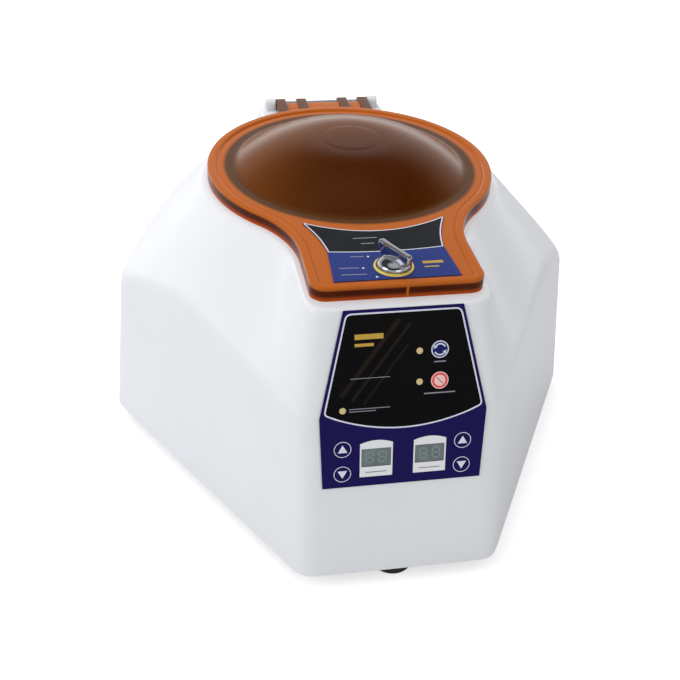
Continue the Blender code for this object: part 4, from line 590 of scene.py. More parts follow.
def smoothed_round(ring, columns):
    """A ring of points averaged with its neighbours by a bell curve, so that ridges come out soft."""
    reach = math.ceil(3 * columns)
    offsets = np.arange(-reach, reach + 1)
    weights = np.exp(-((offsets / columns) ** 2) / 2)
    weights /= weights.sum()
    return sum(w * np.roll(ring, -o, axis=0) for w, o in zip(weights, offsets))


def shell_grid(settings):
    """The shell's outside: up the drafted wall, over the crease, up the shoulder and level to the opening."""
    *rings, soft = shell_columns()
    foot, crease, edge = (smoothed_round(ring, SHELL_SOFTNESS) for ring in rings)
    mouth = edge * OPENING_RADIUS / np.hypot(edge[:, :1], edge[:, 1:2])
    mouth[:, 2] = DECK_HEIGHT
    reach = settings.panel_softening + soft * (settings.crease_softening - settings.panel_softening)
    over_crease = bend(foot, crease, edge, reach, 12)
    over_edge = bend(crease, edge, mouth, settings.deck_softening, 8)
    rows = (
        between(foot, over_crease[0], 10),
        over_crease[:-1],
        between(over_crease[-1], over_edge[0], 12),
        over_edge[:-1],
        between(over_edge[-1], mouth, 5),
        mouth[None],
    )
    return np.concatenate(rows) + (0, AXIS_Y, 0)


def ear_outline():
    """An ear from the side: upright sides that flare into the deck, and a round head on the pin's axis."""
    y, sunk = AXIS_Y + HINGE_REACH, DECK_HEIGHT - 1 * mm
    head = arc((y, HINGE_HEIGHT), EAR_RADIUS, 0, HALF_TURN, 20)
    return np.concatenate([[(y - EAR_RADIUS, sunk), (y + EAR_RADIUS, sunk)], head])


def back_wall_matrix(across):
    """The frame of a fitting in the back wall: z points out, and x to the left as seen from the front."""
    place = Matrix.Translation((0, AXIS_Y + wall_reach(BACK, BACK_WALL_HEIGHT), BACK_WALL_HEIGHT))
    lean = Matrix.Rotation(math.pi / 2 - math.atan(WALL_DRAFTS[BACK]), 4, "X")
    return place @ Matrix.Rotation(HALF_TURN, 4, "Z") @ lean @ Matrix.Translation((across, 0, 0))


def round_plug(place, radius, deep, sides):
    """A closed plug through the panel at a key's or a lamp's place."""
    return revolved([(0, -deep), (radius, -deep), (radius, deep), (0, deep)], sides, facet_matrix(*place))


def shell_cutters():
    """Closed plugs for the panel's holes, the cam's slot in the deck and the two openings at the back."""
    keys = [(place, KEY_RADIUS) for place in (RUN_PLACE, STOP_PLACE, *ARROW_KEYS.values())]
    lamps = [(place, LAMP_RADIUS) for place in LAMP_PLACES.values()]
    rounds = [round_plug(place, radius + HOLE_GAP, PLUG_DEPTH, 32) for place, radius in keys + lamps]
    window = [side + 2 * HOLE_GAP for side in DISPLAY_SIZE]
    boxes = [(window, 0.2 * mm, 2, facet_matrix(across, DISPLAY_ALONG)) for across in DISPLAY_PLACES]
    boxes.append((CAM_SLOT, 2 * mm, 4, LATCH_AXIS @ Matrix.Translation((0, 0, DECK_HEIGHT))))
    boxes += [(size, 0.3 * mm, 2, back_wall_matrix(across)) for across, size in BACK_OPENINGS]
    blocks = []
    for size, corner, steps, matrix in boxes:
        block = capped_prism(rounded_box(size, corner, steps), -PLUG_DEPTH, PLUG_DEPTH, "Z")
        blocks.append(placed(block, matrix))
    return surfaces("round_plugs", rounds), surfaces("square_plugs", blocks)


class CENTRIFUGE_OT_housing(bpy.types.Operator):
    """White moulded shell with its hinge ears"""

    bl_idname = "centrifuge.housing"
    bl_label = "Housing"

    def execute(self, context):
        settings = context.scene.centrifuge_housing
        white = finish("moulded_white_abs", settings.shell_colour)
        shell = surfaces("housing_shell", [shell_grid(settings)], smooth_angle=50)
        wall = shell.modifiers.new("wall", "SOLIDIFY")
        wall.thickness = settings.wall
        wall.offset = -1
        wall.use_even_offset = True
        cut_away(shell, *shell_cutters(), smooth_angle=50)
        dress(shell, white, "base", "housing", slot="white_abs")
        low, high = EAR_CENTRE - EAR_WIDTH / 2, EAR_CENTRE + EAR_WIDTH / 2
        ends = ((-high, -low), (low, high))
        ears = [capped_prism(ear_outline(), *pair, bevel=EAR_BEVEL) for pair in ends]
        piece("hinge_ears", ears, white, "base", "housing", slot="white_abs")
        return {"FINISHED"}


# The lid

LID_COUNTS = {"front": 14, "front corner": 12, "tongue side": 10, "neck": 26, "rim": 84}
DOME_RADIUS, DOME_BOSS_RADIUS, DOME_POWER = 84 * mm, 22 * mm, 2.1
# The rim's outside from its foot to the channel: each corner's distance from the outline, height and rounding
BEAD = (
    (0, LID_BOTTOM, 0),
    (0, LID_TOP, 1.3 * mm),
    (-5.4 * mm, LID_TOP, 0.8 * mm),
    (-6.6 * mm, CHANNEL_TOP - 0.5 * mm, 0.3 * mm),
    (-7.6 * mm, CHANNEL_TOP, 0.4 * mm),
    (-11 * mm, CHANNEL_TOP, 0),
)
# The boss on the dome: distances from its edge, and drops from its crown
BOSS = ((-1.5 * mm, 0.2 * mm), (-3 * mm, 0.06 * mm), (-5 * mm, 0), (-11 * mm, 0), (-DOME_BOSS_RADIUS, 0))
LUG_CENTRES, LUG_WIDTH, LUG_RADIUS, LUG_BEVEL = (17 * mm, 34 * mm), 8 * mm, 3.7 * mm, 0.5 * mm
LUG_ROOT = LID_RADIUS - 1.5 * mm  # distance from the rotor's axis at which lugs and web begin
LUG_COLOUR_SHARES = (0.14, 0.35)  # of the rim's and the band's colours, because a lug is thick
# The web between the lugs: its thickness, the drop of its top from theirs, its gap to the pin's round, and
# how far it reaches into them
WEB_THICKNESS, WEB_DROP, WEB_GAP, WEB_OVERLAP = 3 * mm, 1.2 * mm, 1.5 * mm, 0.5 * mm


def lid_outline(grow):
    """The lid's keyhole outline at an offset: tongue, neck arcs and round rim, as a closed ring of points."""
    spans, azimuth = keyhole_front(grow, TONGUE_REACH + grow, LID_COUNTS)
    parts = [points[:-1] for points in spans.values()]
    parts.append(arc((0, 0), LID_RADIUS + grow, azimuth, math.pi / 2, LID_COUNTS["rim"]))
    return mirrored(np.concatenate(parts), (-1, 1))


def lid_rows(*profile):
    """Rings of the lid from offsets and heights."""
    return [raised(lid_outline(grow), height) for grow, height in profile]


def circle_rows(*profile):
    """Rings on circles from radii and heights, each point at the azimuth of its place on the outline."""
    x, y = lid_outline(0).T
    azimuths = np.arctan2(y, x)
    unit = np.column_stack([np.cos(azimuths), np.sin(azimuths)])
    return [raised(radius * unit, height) for radius, height in profile]


def dome_profile(rise, steps, drop=0.0):
    """The dome's radii and heights: it falls from its crown by a power of the distance from the boss."""
    f = np.linspace(1, 0, steps + 1)
    radii = DOME_BOSS_RADIUS + f * (DOME_RADIUS - DOME_BOSS_RADIUS)
    crown = LID_TOP + rise - 0.3 * mm
    return np.column_stack([radii, CHANNEL_TOP + (crown - CHANNEL_TOP) * (1 - f**DOME_POWER) - drop])


def lid_grid(settings):
    """The lid's skin: from the dome's inside down to the skirt's foot, and up outside to the crown."""
    wall, rise = settings.wall, settings.dome_rise
    under, crown = CHANNEL_TOP - wall, LID_TOP + rise
    inside = circle_rows((0, crown - wall), (DOME_BOSS_RADIUS / 2, crown - wall))
    inside += circle_rows(*dome_profile(rise, 20, wall)[:0:-1], (DOME_RADIUS - 1 * mm, under))
    plate_edge, *skirt = lid_rows(
        (-wall - 2 * mm, under),
        (-wall - 0.6 * mm, under - 0.2 * mm),
        (-wall, under - 1 * mm),
        (-wall, LID_BOTTOM),
    )
    inside += [*between(inside[-1], plate_edge, 5, skip=1), plate_edge, *skirt]
    bead = np.array(BEAD)
    outside = lid_rows(*rounded(bead[:, :2], bead[:, 2], 5))
    (base,) = circle_rows((DOME_RADIUS + 2.5 * mm, CHANNEL_TOP))
    dome = dome_profile(rise, 34)
    dome[0, 1] += 0.25 * mm
    outside += [*between(outside[-1], base, 7, skip=1), base, *circle_rows(*dome)]
    outside += circle_rows(*((DOME_BOSS_RADIUS + inward, crown - drop) for inward, drop in BOSS))
    return np.stack(inside + outside) + (0, AXIS_Y, 0)


def lug_outline(start):
    """A hinge lug from the side: straight from inside the skirt to a round end on the pin's axis."""
    end = arc((AXIS_Y + HINGE_REACH, HINGE_HEIGHT), LUG_RADIUS, -math.pi / 2, math.pi / 2, 16)
    foot, head = ((start, HINGE_HEIGHT + side * LUG_RADIUS) for side in (-1, 1))
    return np.concatenate([[foot], end, [head]])


class CENTRIFUGE_OT_lid(bpy.types.Operator):
    """Amber lid with its dome, hinge lugs and web"""

    bl_idname = "centrifuge.lid"
    bl_label = "Lid"

    def execute(self, context):
        settings = context.scene.centrifuge_lid
        lid = surfaces("lid_moulding", [lid_grid(settings)], smooth_angle=50)
        dress(lid, amber_acrylic_material(settings), "lid", "lid", slot="amber_acrylic")
        # Lamps shine through the clear moulding, and Cycles would give it a dark shadow
        lid.visible_shadow = False

        lugs = []
        for centre in LUG_CENTRES:
            low, high = centre - LUG_WIDTH / 2, centre + LUG_WIDTH / 2
            outline = lug_outline(AXIS_Y + math.sqrt(LUG_ROOT**2 - high**2))
            lugs += [capped_prism(outline, *pair, bevel=LUG_BEVEL) for pair in ((-high, -low), (low, high))]
        rim, band = np.array(settings.rim_colour), np.array(settings.band_colour)
        rim_share, band_share = LUG_COLOUR_SHARES
        thick = finish("thick_amber_acrylic", rim * rim_share + band * band_share)
        piece("lid_lugs", lugs, thick, "lid", "lid", slot="amber_acrylic")

        reach = LUG_CENTRES[1] - LUG_WIDTH / 2 + WEB_OVERLAP
        start = AXIS_Y + math.sqrt(LUG_ROOT**2 - reach**2)
        end = AXIS_Y + HINGE_REACH - LUG_RADIUS - WEB_GAP
        top = HINGE_HEIGHT + LUG_RADIUS - WEB_DROP
        low = top - WEB_THICKNESS
        side_view = rounded([(start, low), (end, low), (end, top), (start, top)], 0.6 * mm, 3, closed=True)
        thin = finish("thin_amber_acrylic", rim)
        piece("lid_web", [capped_prism(side_view, -reach, reach)], thin, "lid", "lid", slot="amber_acrylic")
        return {"FINISHED"}


# The sheet and the latch on the lid

SHEET_PLACES = (-163.4 * mm, -126 * mm, -87.4 * mm)  # front, waist and back
SHEET_HALF_WIDTHS = (40.6 * mm, 38.2 * mm, 48.6 * mm)
SHEET_BOWS = (0.0, 2.6 * mm, 14.9 * mm)  # how far the middle of each edge bows to the front
SHEET_WAIST_BEND = 1.6 * mm
ZONE_LOW, ZONE_HIGH, ZONE_INSET, ZONE_LINE = 0.97, 1.985, 0.6 * mm, 0.8 * mm
LATCH_LOW = LID_LABEL_TOP + 0.3 * mm
RING_RADII, RING_HEIGHT = (11.3 * mm, 13 * mm), 1.2 * mm
KNOB_RADIUS, KNOB_BASE, KNOB_HEIGHT = 11 * mm, 7 * mm, 13.5 * mm
BAR_HALF_WIDTH, BAR_BEVEL = 2 * mm, 0.9 * mm
LATCH_ANGLE = math.radians(118)
MARKS = ((-13.6 * mm, -135.4 * mm), (-19.4 * mm, -149.2 * mm), (-12.9 * mm, -160.4 * mm))
MARK_RADIUS = 0.8 * mm
# Straight printed lines in millimetres, each from one point to another at a width
SHEET_RULES = mm * np.array(
    ((-24.9, -134.6, -16.4, -135.1, 0.8), (-34.6, -148, -22, -148.8, 0.8), (-34.6, -156, -18.5, -156.6, 0.8))
)
ZONE_RULES = mm * np.array(((-19, -111.6, -3, -111.6, 0.9), (-15, -118.8, -6, -118.8, 0.9)))
SHEET_BARS = mm * np.array(((19.5, -146, 33, -146, 3), (19.5, -151.4, 29, -151.4, 1.4)))


def sheet_point(u, v, inset=0.0):
    """A point of the lid's printed sheet: u runs across from -1 to 1 and v from the front, 0, to the back, 2.

    Half width, place and bow are interpolated between front, waist and back. The place bows by 1 - u squared.
    """
    u, v = np.broadcast_arrays(np.asarray(u, float), np.asarray(v, float))
    rows = (SHEET_HALF_WIDTHS, SHEET_PLACES, SHEET_BOWS)
    half, middle, bow = (np.interp(v, (0, 1, 2), row) for row in rows)
    half = half - SHEET_WAIST_BEND * np.sin(math.pi * np.clip(v - 1, 0, 1)) - inset
    return np.stack([u * half, middle - bow * (1 - u**2)], axis=-1)


def sheet_part(low_v, high_v, low, high, inset=0.0, columns=33, rows=13):
    """A closed sheet between two values of v, as a grid of its top, its underside and the edges between."""
    u, v = np.linspace(-1, 1, columns), np.linspace(low_v, high_v, rows)[:, None]
    x, y = np.moveaxis(sheet_point(u, v, inset), 2, 0)
    grid = np.concatenate([on_lid(x, y, high), on_lid(x, y, low)[:, ::-1]], axis=1)
    ends = [(row[:columns] + row[: columns - 1 : -1]) / 2 for row in (grid[0], grid[-1])]
    first, last = (np.concatenate([row, row[::-1]])[None] for row in ends)
    return np.concatenate([first, grid, last])


def zone_line():
    """The closed line round the sheet's upper zone."""
    f = np.linspace(0, 1, 40)
    across, along = f * 2 - 1, ZONE_LOW + f * (ZONE_HIGH - ZONE_LOW)
    sides = (
        sheet_point(across, ZONE_HIGH, ZONE_INSET),
        sheet_point(1, along[::-1], ZONE_INSET)[1:],
        sheet_point(-across, ZONE_LOW, ZONE_INSET)[1:],
        sheet_point(-1, along, ZONE_INSET)[1:-1],
    )
    return np.concatenate(sides)


def knob_profile(low):
    """The knob's round base: a foot of small radius, and a crown that is a quarter ellipse."""
    a = np.linspace(0.15, math.pi / 2, 16)
    seat = 1.5 * mm
    crown = np.column_stack([KNOB_RADIUS * np.cos(a), low + seat + (KNOB_BASE - seat) * np.sin(a)])
    crown[-1, 0] = 0
    foot = rounded([(0, low), (KNOB_RADIUS, low), crown[0]], (0, 0.4 * mm, 0), 4)
    return np.concatenate([foot, crown[1:]])


def bar_outline(low, reach):
    """The bar handle from the side: level on top, drawn in to the knob below."""
    head = low + KNOB_HEIGHT
    corners = (
        (-reach, head - 6 * mm),
        (-KNOB_RADIUS * 0.75, low + 3 * mm),
        (KNOB_RADIUS * 0.85, low + 2 * mm),
        (reach, head - 3.5 * mm),
        (reach, head),
        (-reach, head),
    )
    return dense(rounded(corners, 1.2 * mm, 5, closed=True), 0.5 * mm)


class CENTRIFUGE_OT_latch(bpy.types.Operator):
    """Printed sheet on the lid, and the chrome knob on its yellow ring"""

    bl_idname = "centrifuge.latch"
    bl_label = "Latch"

    def execute(self, context):
        settings, panel = context.scene.centrifuge_latch, context.scene.centrifuge_panel
        blue = finish("blue_overlay_print", settings.sheet_colour, "overlay_print")
        charcoal = finish("charcoal_overlay_print", settings.zone_colour, "overlay_print")
        white = finish("lid_white_ink", panel.line_colour, "screen_ink")
        grey = finish("lid_grey_ink", panel.rule_colour, "screen_ink")
        gold = finish("lid_gold_ink", panel.gold_colour, "screen_ink")
        top = LID_LABEL_TOP
        piece("lid_sheet", [sheet_part(0, 2, LID_LABEL_LOW, top)], blue, "lid", "lid_label", slot="lid_print")
        zone = sheet_part(ZONE_LOW, ZONE_HIGH, top, top + INK, ZONE_INSET)
        piece("lid_sheet_zone", [zone], charcoal, "lid")
        edge = ribbon(zone_line(), ZONE_LINE, top, top + 2 * INK, on_lid)
        piece("lid_sheet_line", [edge], white, "lid", closed=True)
        spots = [on_matrix(AXIS @ Matrix.Translation((x, y, 0))) for x, y in MARKS]
        dots = [disc(MARK_RADIUS, top, top + INK, spot, 20) for spot in spots]
        piece("lid_sheet_marks", dots, white, "lid", closed=True)
        rules = straight_lines(SHEET_RULES, top, top + INK, on_lid)
        rules += straight_lines(ZONE_RULES, top + INK, top + 2 * INK, on_lid)
        piece("lid_sheet_rules", rules, grey, "lid")
        piece("lid_sheet_bars", straight_lines(SHEET_BARS, top, top + INK, on_lid), gold, "lid")

        low = LATCH_LOW
        (inner, outer), over = RING_RADII, low + RING_HEIGHT
        corners = [(inner, low), (outer, low), (outer - 0.5 * mm, over), (inner, over)]
        ring = revolved(rounded(corners, 0.3 * mm, 3, closed=True), 80, LATCH_AXIS)
        yellow = finish("yellow_anodised_ring", settings.ring_colour)
        piece("knob_ring", [ring], yellow, "lid", "latch_ring", slot="yellow_ring", closed=True)
        knob = revolved(knob_profile(low), 80, LATCH_AXIS)
        outline = bar_outline(low, settings.bar_length / 2)
        blade = capped_prism(outline, -BAR_HALF_WIDTH, BAR_HALF_WIDTH, bevel=BAR_BEVEL, steps=5)
        bar = placed(blade, LATCH_AXIS @ Matrix.Rotation(LATCH_ANGLE - math.pi / 2, 4, "Z"))
        chrome = finish("chrome_plate")
        for name, grid in (("knob_dome", knob), ("knob_bar", bar)):
            piece(name, [grid], chrome, "latch", "latch_knob", slot="chrome_plate")
        return {"FINISHED"}


# The front panel

FIELD_TOP, FIELD_SIDE, FIELD_DIP = 66.6 * mm, 3 * mm, -8.9 * mm
FIELD_TOP_HALF, FIELD_FOOT_HALF = 36 * mm, 50.6 * mm
FIELD_STRIPES = mm * np.array(((-40, 14, -3, 62, 2.8), (-33, 11, 4, 59, 1.9), (-26, 8, 3, 46, 1.1)))
FIELD_RULES = mm * np.array(
    (
        (19, 33, 26.6, 33, 0.8),
        (12.8, 12.6, 32.8, 12.6, 0.8),
        (-35, 5.6, -9, 5.6, 0.5),
        (-35, 4, -18, 4, 0.5),
        (-34, 25.4, -9, 25.4, 0.4),
    )
)
FIELD_BARS = mm * np.array(((-31, 52, -13, 52, 3.4), (-31, 46.8, -19, 46.8, 2)))
DISPLAY_RULE = mm * np.array(((-7, -10.4, 7, -10.4, 0.7),))
# A display's printed frame: half its width, and where its foot, its shoulders and its crown are
FRAME_HALF, FRAME_FOOT, FRAME_SHOULDER, FRAME_CROWN = 10.6 * mm, -13.6 * mm, 10.1 * mm, 12.3 * mm
DIGIT_PLACES = (-4.2 * mm, 4.2 * mm)
DIGIT_HALF, DIGIT_TALL, DIGIT_BAR, DIGIT_GAP = 2.3 * mm, 3.6 * mm, 0.9 * mm, 0.5 * mm
SEGMENT_DEPTH = 0.3 * mm  # how far the segments lie behind the label's face
# A lamp's lens: share of its radius, and height over the label's face
LENS = (
    (0, -9.1 * mm),
    (1, -9.1 * mm),
    (1, 0),
    (0.92, 0.25 * mm),
    (0.62, 0.3 * mm),
    (0.55, 0.1 * mm),
    (0.4, 0.42 * mm),
    (0, 0.5 * mm),
)


def field_outline():
    """The field's edge as a closed line, clockwise from its upper left corner: top, side, parabola, side."""
    x = np.linspace(FIELD_FOOT_HALF, -FIELD_FOOT_HALF, 41)
    lower = np.column_stack([x, FIELD_DIP + (FIELD_SIDE - FIELD_DIP) * (x / FIELD_FOOT_HALF) ** 2])
    corners = np.concatenate([[(-FIELD_TOP_HALF, FIELD_TOP), (FIELD_TOP_HALF, FIELD_TOP)], lower])
    radii = np.zeros(len(corners))
    radii[:2] = 3.5 * mm
    radii[[2, -1]] = 2.4 * mm
    return dense(rounded(corners, radii, 6, closed=True), 0.5 * mm)


def field_rows():
    """Left and right ends of the field at each distance along the panel, with one row on the bend itself."""
    outline = field_outline()
    right = outline[outline[:, 0] >= 0]
    right = right[np.argsort(right[:, 1])]
    along = np.unique([*right[:, 1], 0.0])
    half = np.interp(along, right[:, 1], right[:, 0])
    return np.column_stack([-half, along]), np.column_stack([half, along])


def frame_plate(lay, low, high):
    """A window's white surround: its outer edge has an arched top, its inner edge is the window."""
    half, foot = FRAME_HALF, FRAME_FOOT
    x, y = (side / 2 + 0.1 * mm for side in DISPLAY_SIZE)
    u = np.linspace(-1, 1, 17)
    top = np.column_stack([u * half, FRAME_SHOULDER + (FRAME_CROWN - FRAME_SHOULDER) * (1 - u**2)])
    inner = np.concatenate([np.column_stack([u * x, y + 0 * u]), [(x, -y), (-x, -y)]])
    outer = np.concatenate([top, [(half, foot), (-half, foot)]])
    return plate(inner, outer, low, high, lay, closed=True)


def digit_bars(lay, low, high):
    """Seven bars for each of two digits, as upright and level rectangles."""
    rows = []
    half, tall, gap = DIGIT_HALF, DIGIT_TALL, DIGIT_GAP
    for x in DIGIT_PLACES:
        rows += [(x - half + gap, y, x + half - gap, y, DIGIT_BAR) for y in (-tall, 0, tall)]
        for side in (x - half, x + half):
            rows += [(side, foot + gap, side, foot + tall - gap, DIGIT_BAR) for foot in (-tall, 0)]
    return straight_lines(rows, low, high, lay)


class CENTRIFUGE_OT_panel(bpy.types.Operator):
    """Prints on the panel label, the displays and the lamps"""

    bl_idname = "centrifuge.panel"
    bl_label = "Front panel"

    def execute(self, context):
        settings = context.scene.centrifuge_panel
        nodes = frame["nodes"]
        repaint(nodes["panel_label"], finish("navy_overlay_print", settings.border_colour, "overlay_print"))
        low, high = LABEL_FACE, LABEL_FACE + INK
        field = surfaces("panel_field", [plate(*field_rows(), low, high, panel_point)])
        holes = [(place, KEY_RADIUS) for place in (RUN_PLACE, STOP_PLACE)]
        holes += [(place, LAMP_RADIUS) for place in LAMP_PLACES.values()]
        plugs = [round_plug(place, radius + PRINT_GAP, PRINT_PLUG_DEPTH, 48) for place, radius in holes]
        cut_away(field, surfaces("field_plugs", plugs), smooth_angle=5)
        dress(field, finish("black_overlay_print", settings.field_colour, "overlay_print"), "base")
        border = ribbon(field_outline(), settings.line_width, low, high + INK, panel_point)
        pale = finish("pale_ink", settings.line_colour, "screen_ink")
        piece("panel_border", [border], pale, "base", closed=True)

        brown = finish("brown_overlay_print", settings.stripe_colour, "overlay_print")
        grey = finish("grey_ink", settings.rule_colour, "screen_ink")
        gold = finish("gold_ink", settings.gold_colour, "screen_ink")
        prints = (
            ("panel_stripes", FIELD_STRIPES, INK / 2, brown),
            ("panel_rules", FIELD_RULES, INK, grey),
            ("panel_bars", FIELD_BARS, INK, gold),
        )
        for name, rows, thick, ink in prints:
            piece(name, straight_lines(rows, high, high + thick, panel_point), ink, "base")

        frames, segments, rules = [], [], []
        sunk = LABEL_FACE - SEGMENT_DEPTH
        for across in DISPLAY_PLACES:
            lay = on_matrix(facet_matrix(across, DISPLAY_ALONG))
            frames.append(frame_plate(lay, low, high + INK))
            segments += digit_bars(lay, sunk, sunk + INK)
            rules += straight_lines(DISPLAY_RULE, high + INK, high + 2 * INK, lay)
        cream = finish("cream_ink", linear("#E9EAEC"), "screen_ink")
        unlit = finish("pale_segments", linear("#838F90"), "screen_ink")
        piece("display_frames", frames, cream, "base", closed=True)
        piece("display_rules", rules, grey, "base")
        piece("display_digits", segments, unlit, "base")
        glass = finish("liquid_crystal_glass", settings.glass_colour)
        for name in ("time_display", "speed_display"):
            repaint(nodes[name], glass)

        lens = finish("cream_lamp_lens", settings.lamp_colour)
        profile = rounded([(LAMP_RADIUS * share, LABEL_FACE + over) for share, over in LENS], 0.12 * mm, 3)
        for name, place in LAMP_PLACES.items():
            grid = revolved(profile, 40, facet_matrix(*place))
            piece(name.replace("lamp", "lens"), [grid], lens, "base", name, slot="lamp_lens")
        return {"FINISHED"}


KEY_FACE = LABEL_FACE + 0.2 * mm
KEY_DEPTH = 7 * mm
# The rings printed on the keys: their outer radius, and their inner radii on the arrow, run and stop keys
KEY_RING_RADIUS, ARROW_RING, RUN_RING, STOP_RING = 5.6 * mm, 5.15 * mm, 4.9 * mm, 5.0 * mm
ARROW_TIP, ARROW_SIZE = 3.1 * mm, (6.2 * mm, 5.4 * mm)
# The two curved arrows on the run key: radii, angles, and the size and place of their heads
TURN_RADII, TURN_START, TURN_END = (3.1 * mm, 4.0 * mm), 0.45, 2.5
TURN_HEAD, TURN_HEAD_PLACE = (2.6 * mm, 2.4 * mm), (3.55 * mm, 2.1 * mm, 0)
STOP_FACE_RADIUS = 3.6 * mm
STOP_SLASH = mm * np.array(((-2.1, 2.1, 2.1, -2.1, 0.45),))


def key(name, place, cap, slot, inner, ink):
    """A round key with a printed ring: straight wall, small radius and flat face. Returns its frame."""
    matrix, body = facet_matrix(*place), f"{name}_body"
    corners = [(0, -KEY_DEPTH), (KEY_RADIUS, -KEY_DEPTH), (KEY_RADIUS, KEY_FACE), (KEY_RADIUS / 2, KEY_FACE)]
    profile = rounded([*corners, (0, KEY_FACE)], (0, 0.3 * mm, 0.35 * mm, 0, 0), 4)
    piece(f"{name}_cap", [revolved(profile, 56, matrix)], cap, body, name, slot=slot)
    ring = disc(KEY_RING_RADIUS, LABEL_FACE, KEY_FACE + INK, on_matrix(matrix), 56, inner)
    piece(f"{name}_ring", [ring], ink, body, closed=True)
    return matrix


def arrow_head(tip, size, matrix):
    """A triangle on a key: its tip at one end, its base square to it."""
    wide, tall = size
    left, right = ([(side * 1e-5, tip), (side * wide / 2, tip - tall)] for side in (-1, 1))
    return plate(left, right, KEY_FACE, KEY_FACE + INK, on_matrix(matrix))


class CENTRIFUGE_OT_keys(bpy.types.Operator):
    """The six round keys with their printed signs"""

    bl_idname = "centrifuge.keys"
    bl_label = "Keys"

    def execute(self, context):
        settings = context.scene.centrifuge_panel
        white = finish("key_ink", settings.line_colour, "screen_ink")
        navy = finish("navy_key_print", settings.border_colour, "overlay_print")
        low, high = KEY_FACE, KEY_FACE + INK
        for name, place in ARROW_KEYS.items():
            matrix = key(name, place, navy, "arrow_print", ARROW_RING, white)
            if "down" in name:
                matrix = matrix @ Matrix.Rotation(HALF_TURN, 4, "Z")
            piece(f"{name}_arrow", [arrow_head(ARROW_TIP, ARROW_SIZE, matrix)], white, f"{name}_body")

        blue = finish("blue_key_print", settings.run_colour, "overlay_print")
        matrix = key("run_key", RUN_PLACE, blue, "run_print", RUN_RING, white)
        inner, outer = TURN_RADII
        lay, turns = on_matrix(matrix), (0, HALF_TURN)
        signs = [disc(outer, low, high, lay, 28, inner, turn + TURN_START, turn + TURN_END) for turn in turns]
        for turn in turns:
            spun = matrix @ Matrix.Rotation(turn + TURN_END, 4, "Z") @ Matrix.Translation(TURN_HEAD_PLACE)
            signs.append(arrow_head(0, TURN_HEAD, spun))
        piece("run_key_arcs", signs, white, "run_key_body")

        red = finish("red_key_print", settings.stop_colour, "overlay_print")
        pink = finish("pale_pink_ink", linear("#F6C9C4"), "screen_ink")
        lay = on_matrix(key("stop_key", STOP_PLACE, red, "stop_print", STOP_RING, pink))
        piece("stop_key_face", [disc(STOP_FACE_RADIUS, low, high, lay)], pink, "stop_key_body", closed=True)
        slash = straight_lines(STOP_SLASH, high, high + INK / 2, lay)
        dark_red = finish("dark_red_ink", linear("#6C2A2C"), "screen_ink")
        piece("stop_key_slash", slash, dark_red, "stop_key_body")
        return {"FINISHED"}


# The chamber and the rotor

BOWL_FLOOR, BOWL_RADIUS, BOWL_WALL, BOWL_CORNER = 97.4 * mm, 82.5 * mm, 1.2 * mm, 14 * mm
BOWL_SEAT, BOWL_FLANGE, BOWL_HOLE = DECK_HEIGHT + 0.3 * mm, 92 * mm, 20 * mm
GASKET_RADIUS, GASKET_WIDTH = 84.5 * mm, 6.5 * mm
GASKET_LOW, GASKET_HIGH = BOWL_SEAT + BOWL_WALL + 0.3 * mm, CHANNEL_TOP - 3.3 * mm
TUBE_ANGLE = math.radians(33)
TUBE_TIP = (70 * mm, 107 * mm)
TUBE_LENGTH, TUBE_RADIUS, TUBE_WALL = 82 * mm, 9.5 * mm, 1.2 * mm
COLLAR_RADIUS, COLLAR = 11 * mm, 2 * mm
HEAD_RADIUS, HUB_RADIUS, HUB_BOTTOM, BORE_RADIUS = 50 * mm, 13 * mm, 104 * mm, 4.5 * mm
HEAD_TOP, HEAD_BOTTOM = COLLAR + 0.3 * mm, COLLAR + 18.3 * mm  # down the tubes' axes from their mouths
HEAD_RIM, HUB_RISE = 4 * mm, 2 * mm
PLACES = 6
FIT = 0.3 * mm  # between a shield and its bore
MOUTH_REACH = TUBE_TIP[0] - TUBE_LENGTH * math.sin(TUBE_ANGLE)
MOUTH_HEIGHT = TUBE_TIP[1] + TUBE_LENGTH * math.cos(TUBE_ANGLE)
# The rotor's hand nut: radius, height over its seat and rounding of each corner, from its blind bore outward
NUT = (
    (0, 8 * mm, 0),
    (4.5 * mm, 8 * mm, 0),
    (4.5 * mm, 0, 0),
    (10 * mm, 0, 0.5 * mm),
    (10 * mm, 11 * mm, 0.8 * mm),
    (8 * mm, 13 * mm, 0.8 * mm),
    (0, 13 * mm, 0),
)
NUT_SIDES, GRIPS, GRIP_DEPTH, GRIP_START = 120, 12, 0.05, 9 * mm


def head_line(s, radius):
    """Height of the rotor's cone at a radius, where the cone crosses the tubes' axes s below their mouths."""
    reach = MOUTH_REACH + s * math.sin(TUBE_ANGLE)
    return MOUTH_HEIGHT - s * math.cos(TUBE_ANGLE) + (radius - reach) * math.tan(TUBE_ANGLE)


def tube_matrix(index):
    """The frame of one tube: z runs up it from its tip, which leans out from the rotor's axis."""
    around = AXIS @ Matrix.Rotation(math.pi / 2 + index * FULL_TURN / PLACES, 4, "Z")
    return around @ Matrix.Translation((TUBE_TIP[0], 0, TUBE_TIP[1])) @ Matrix.Rotation(-TUBE_ANGLE, 4, "Y")


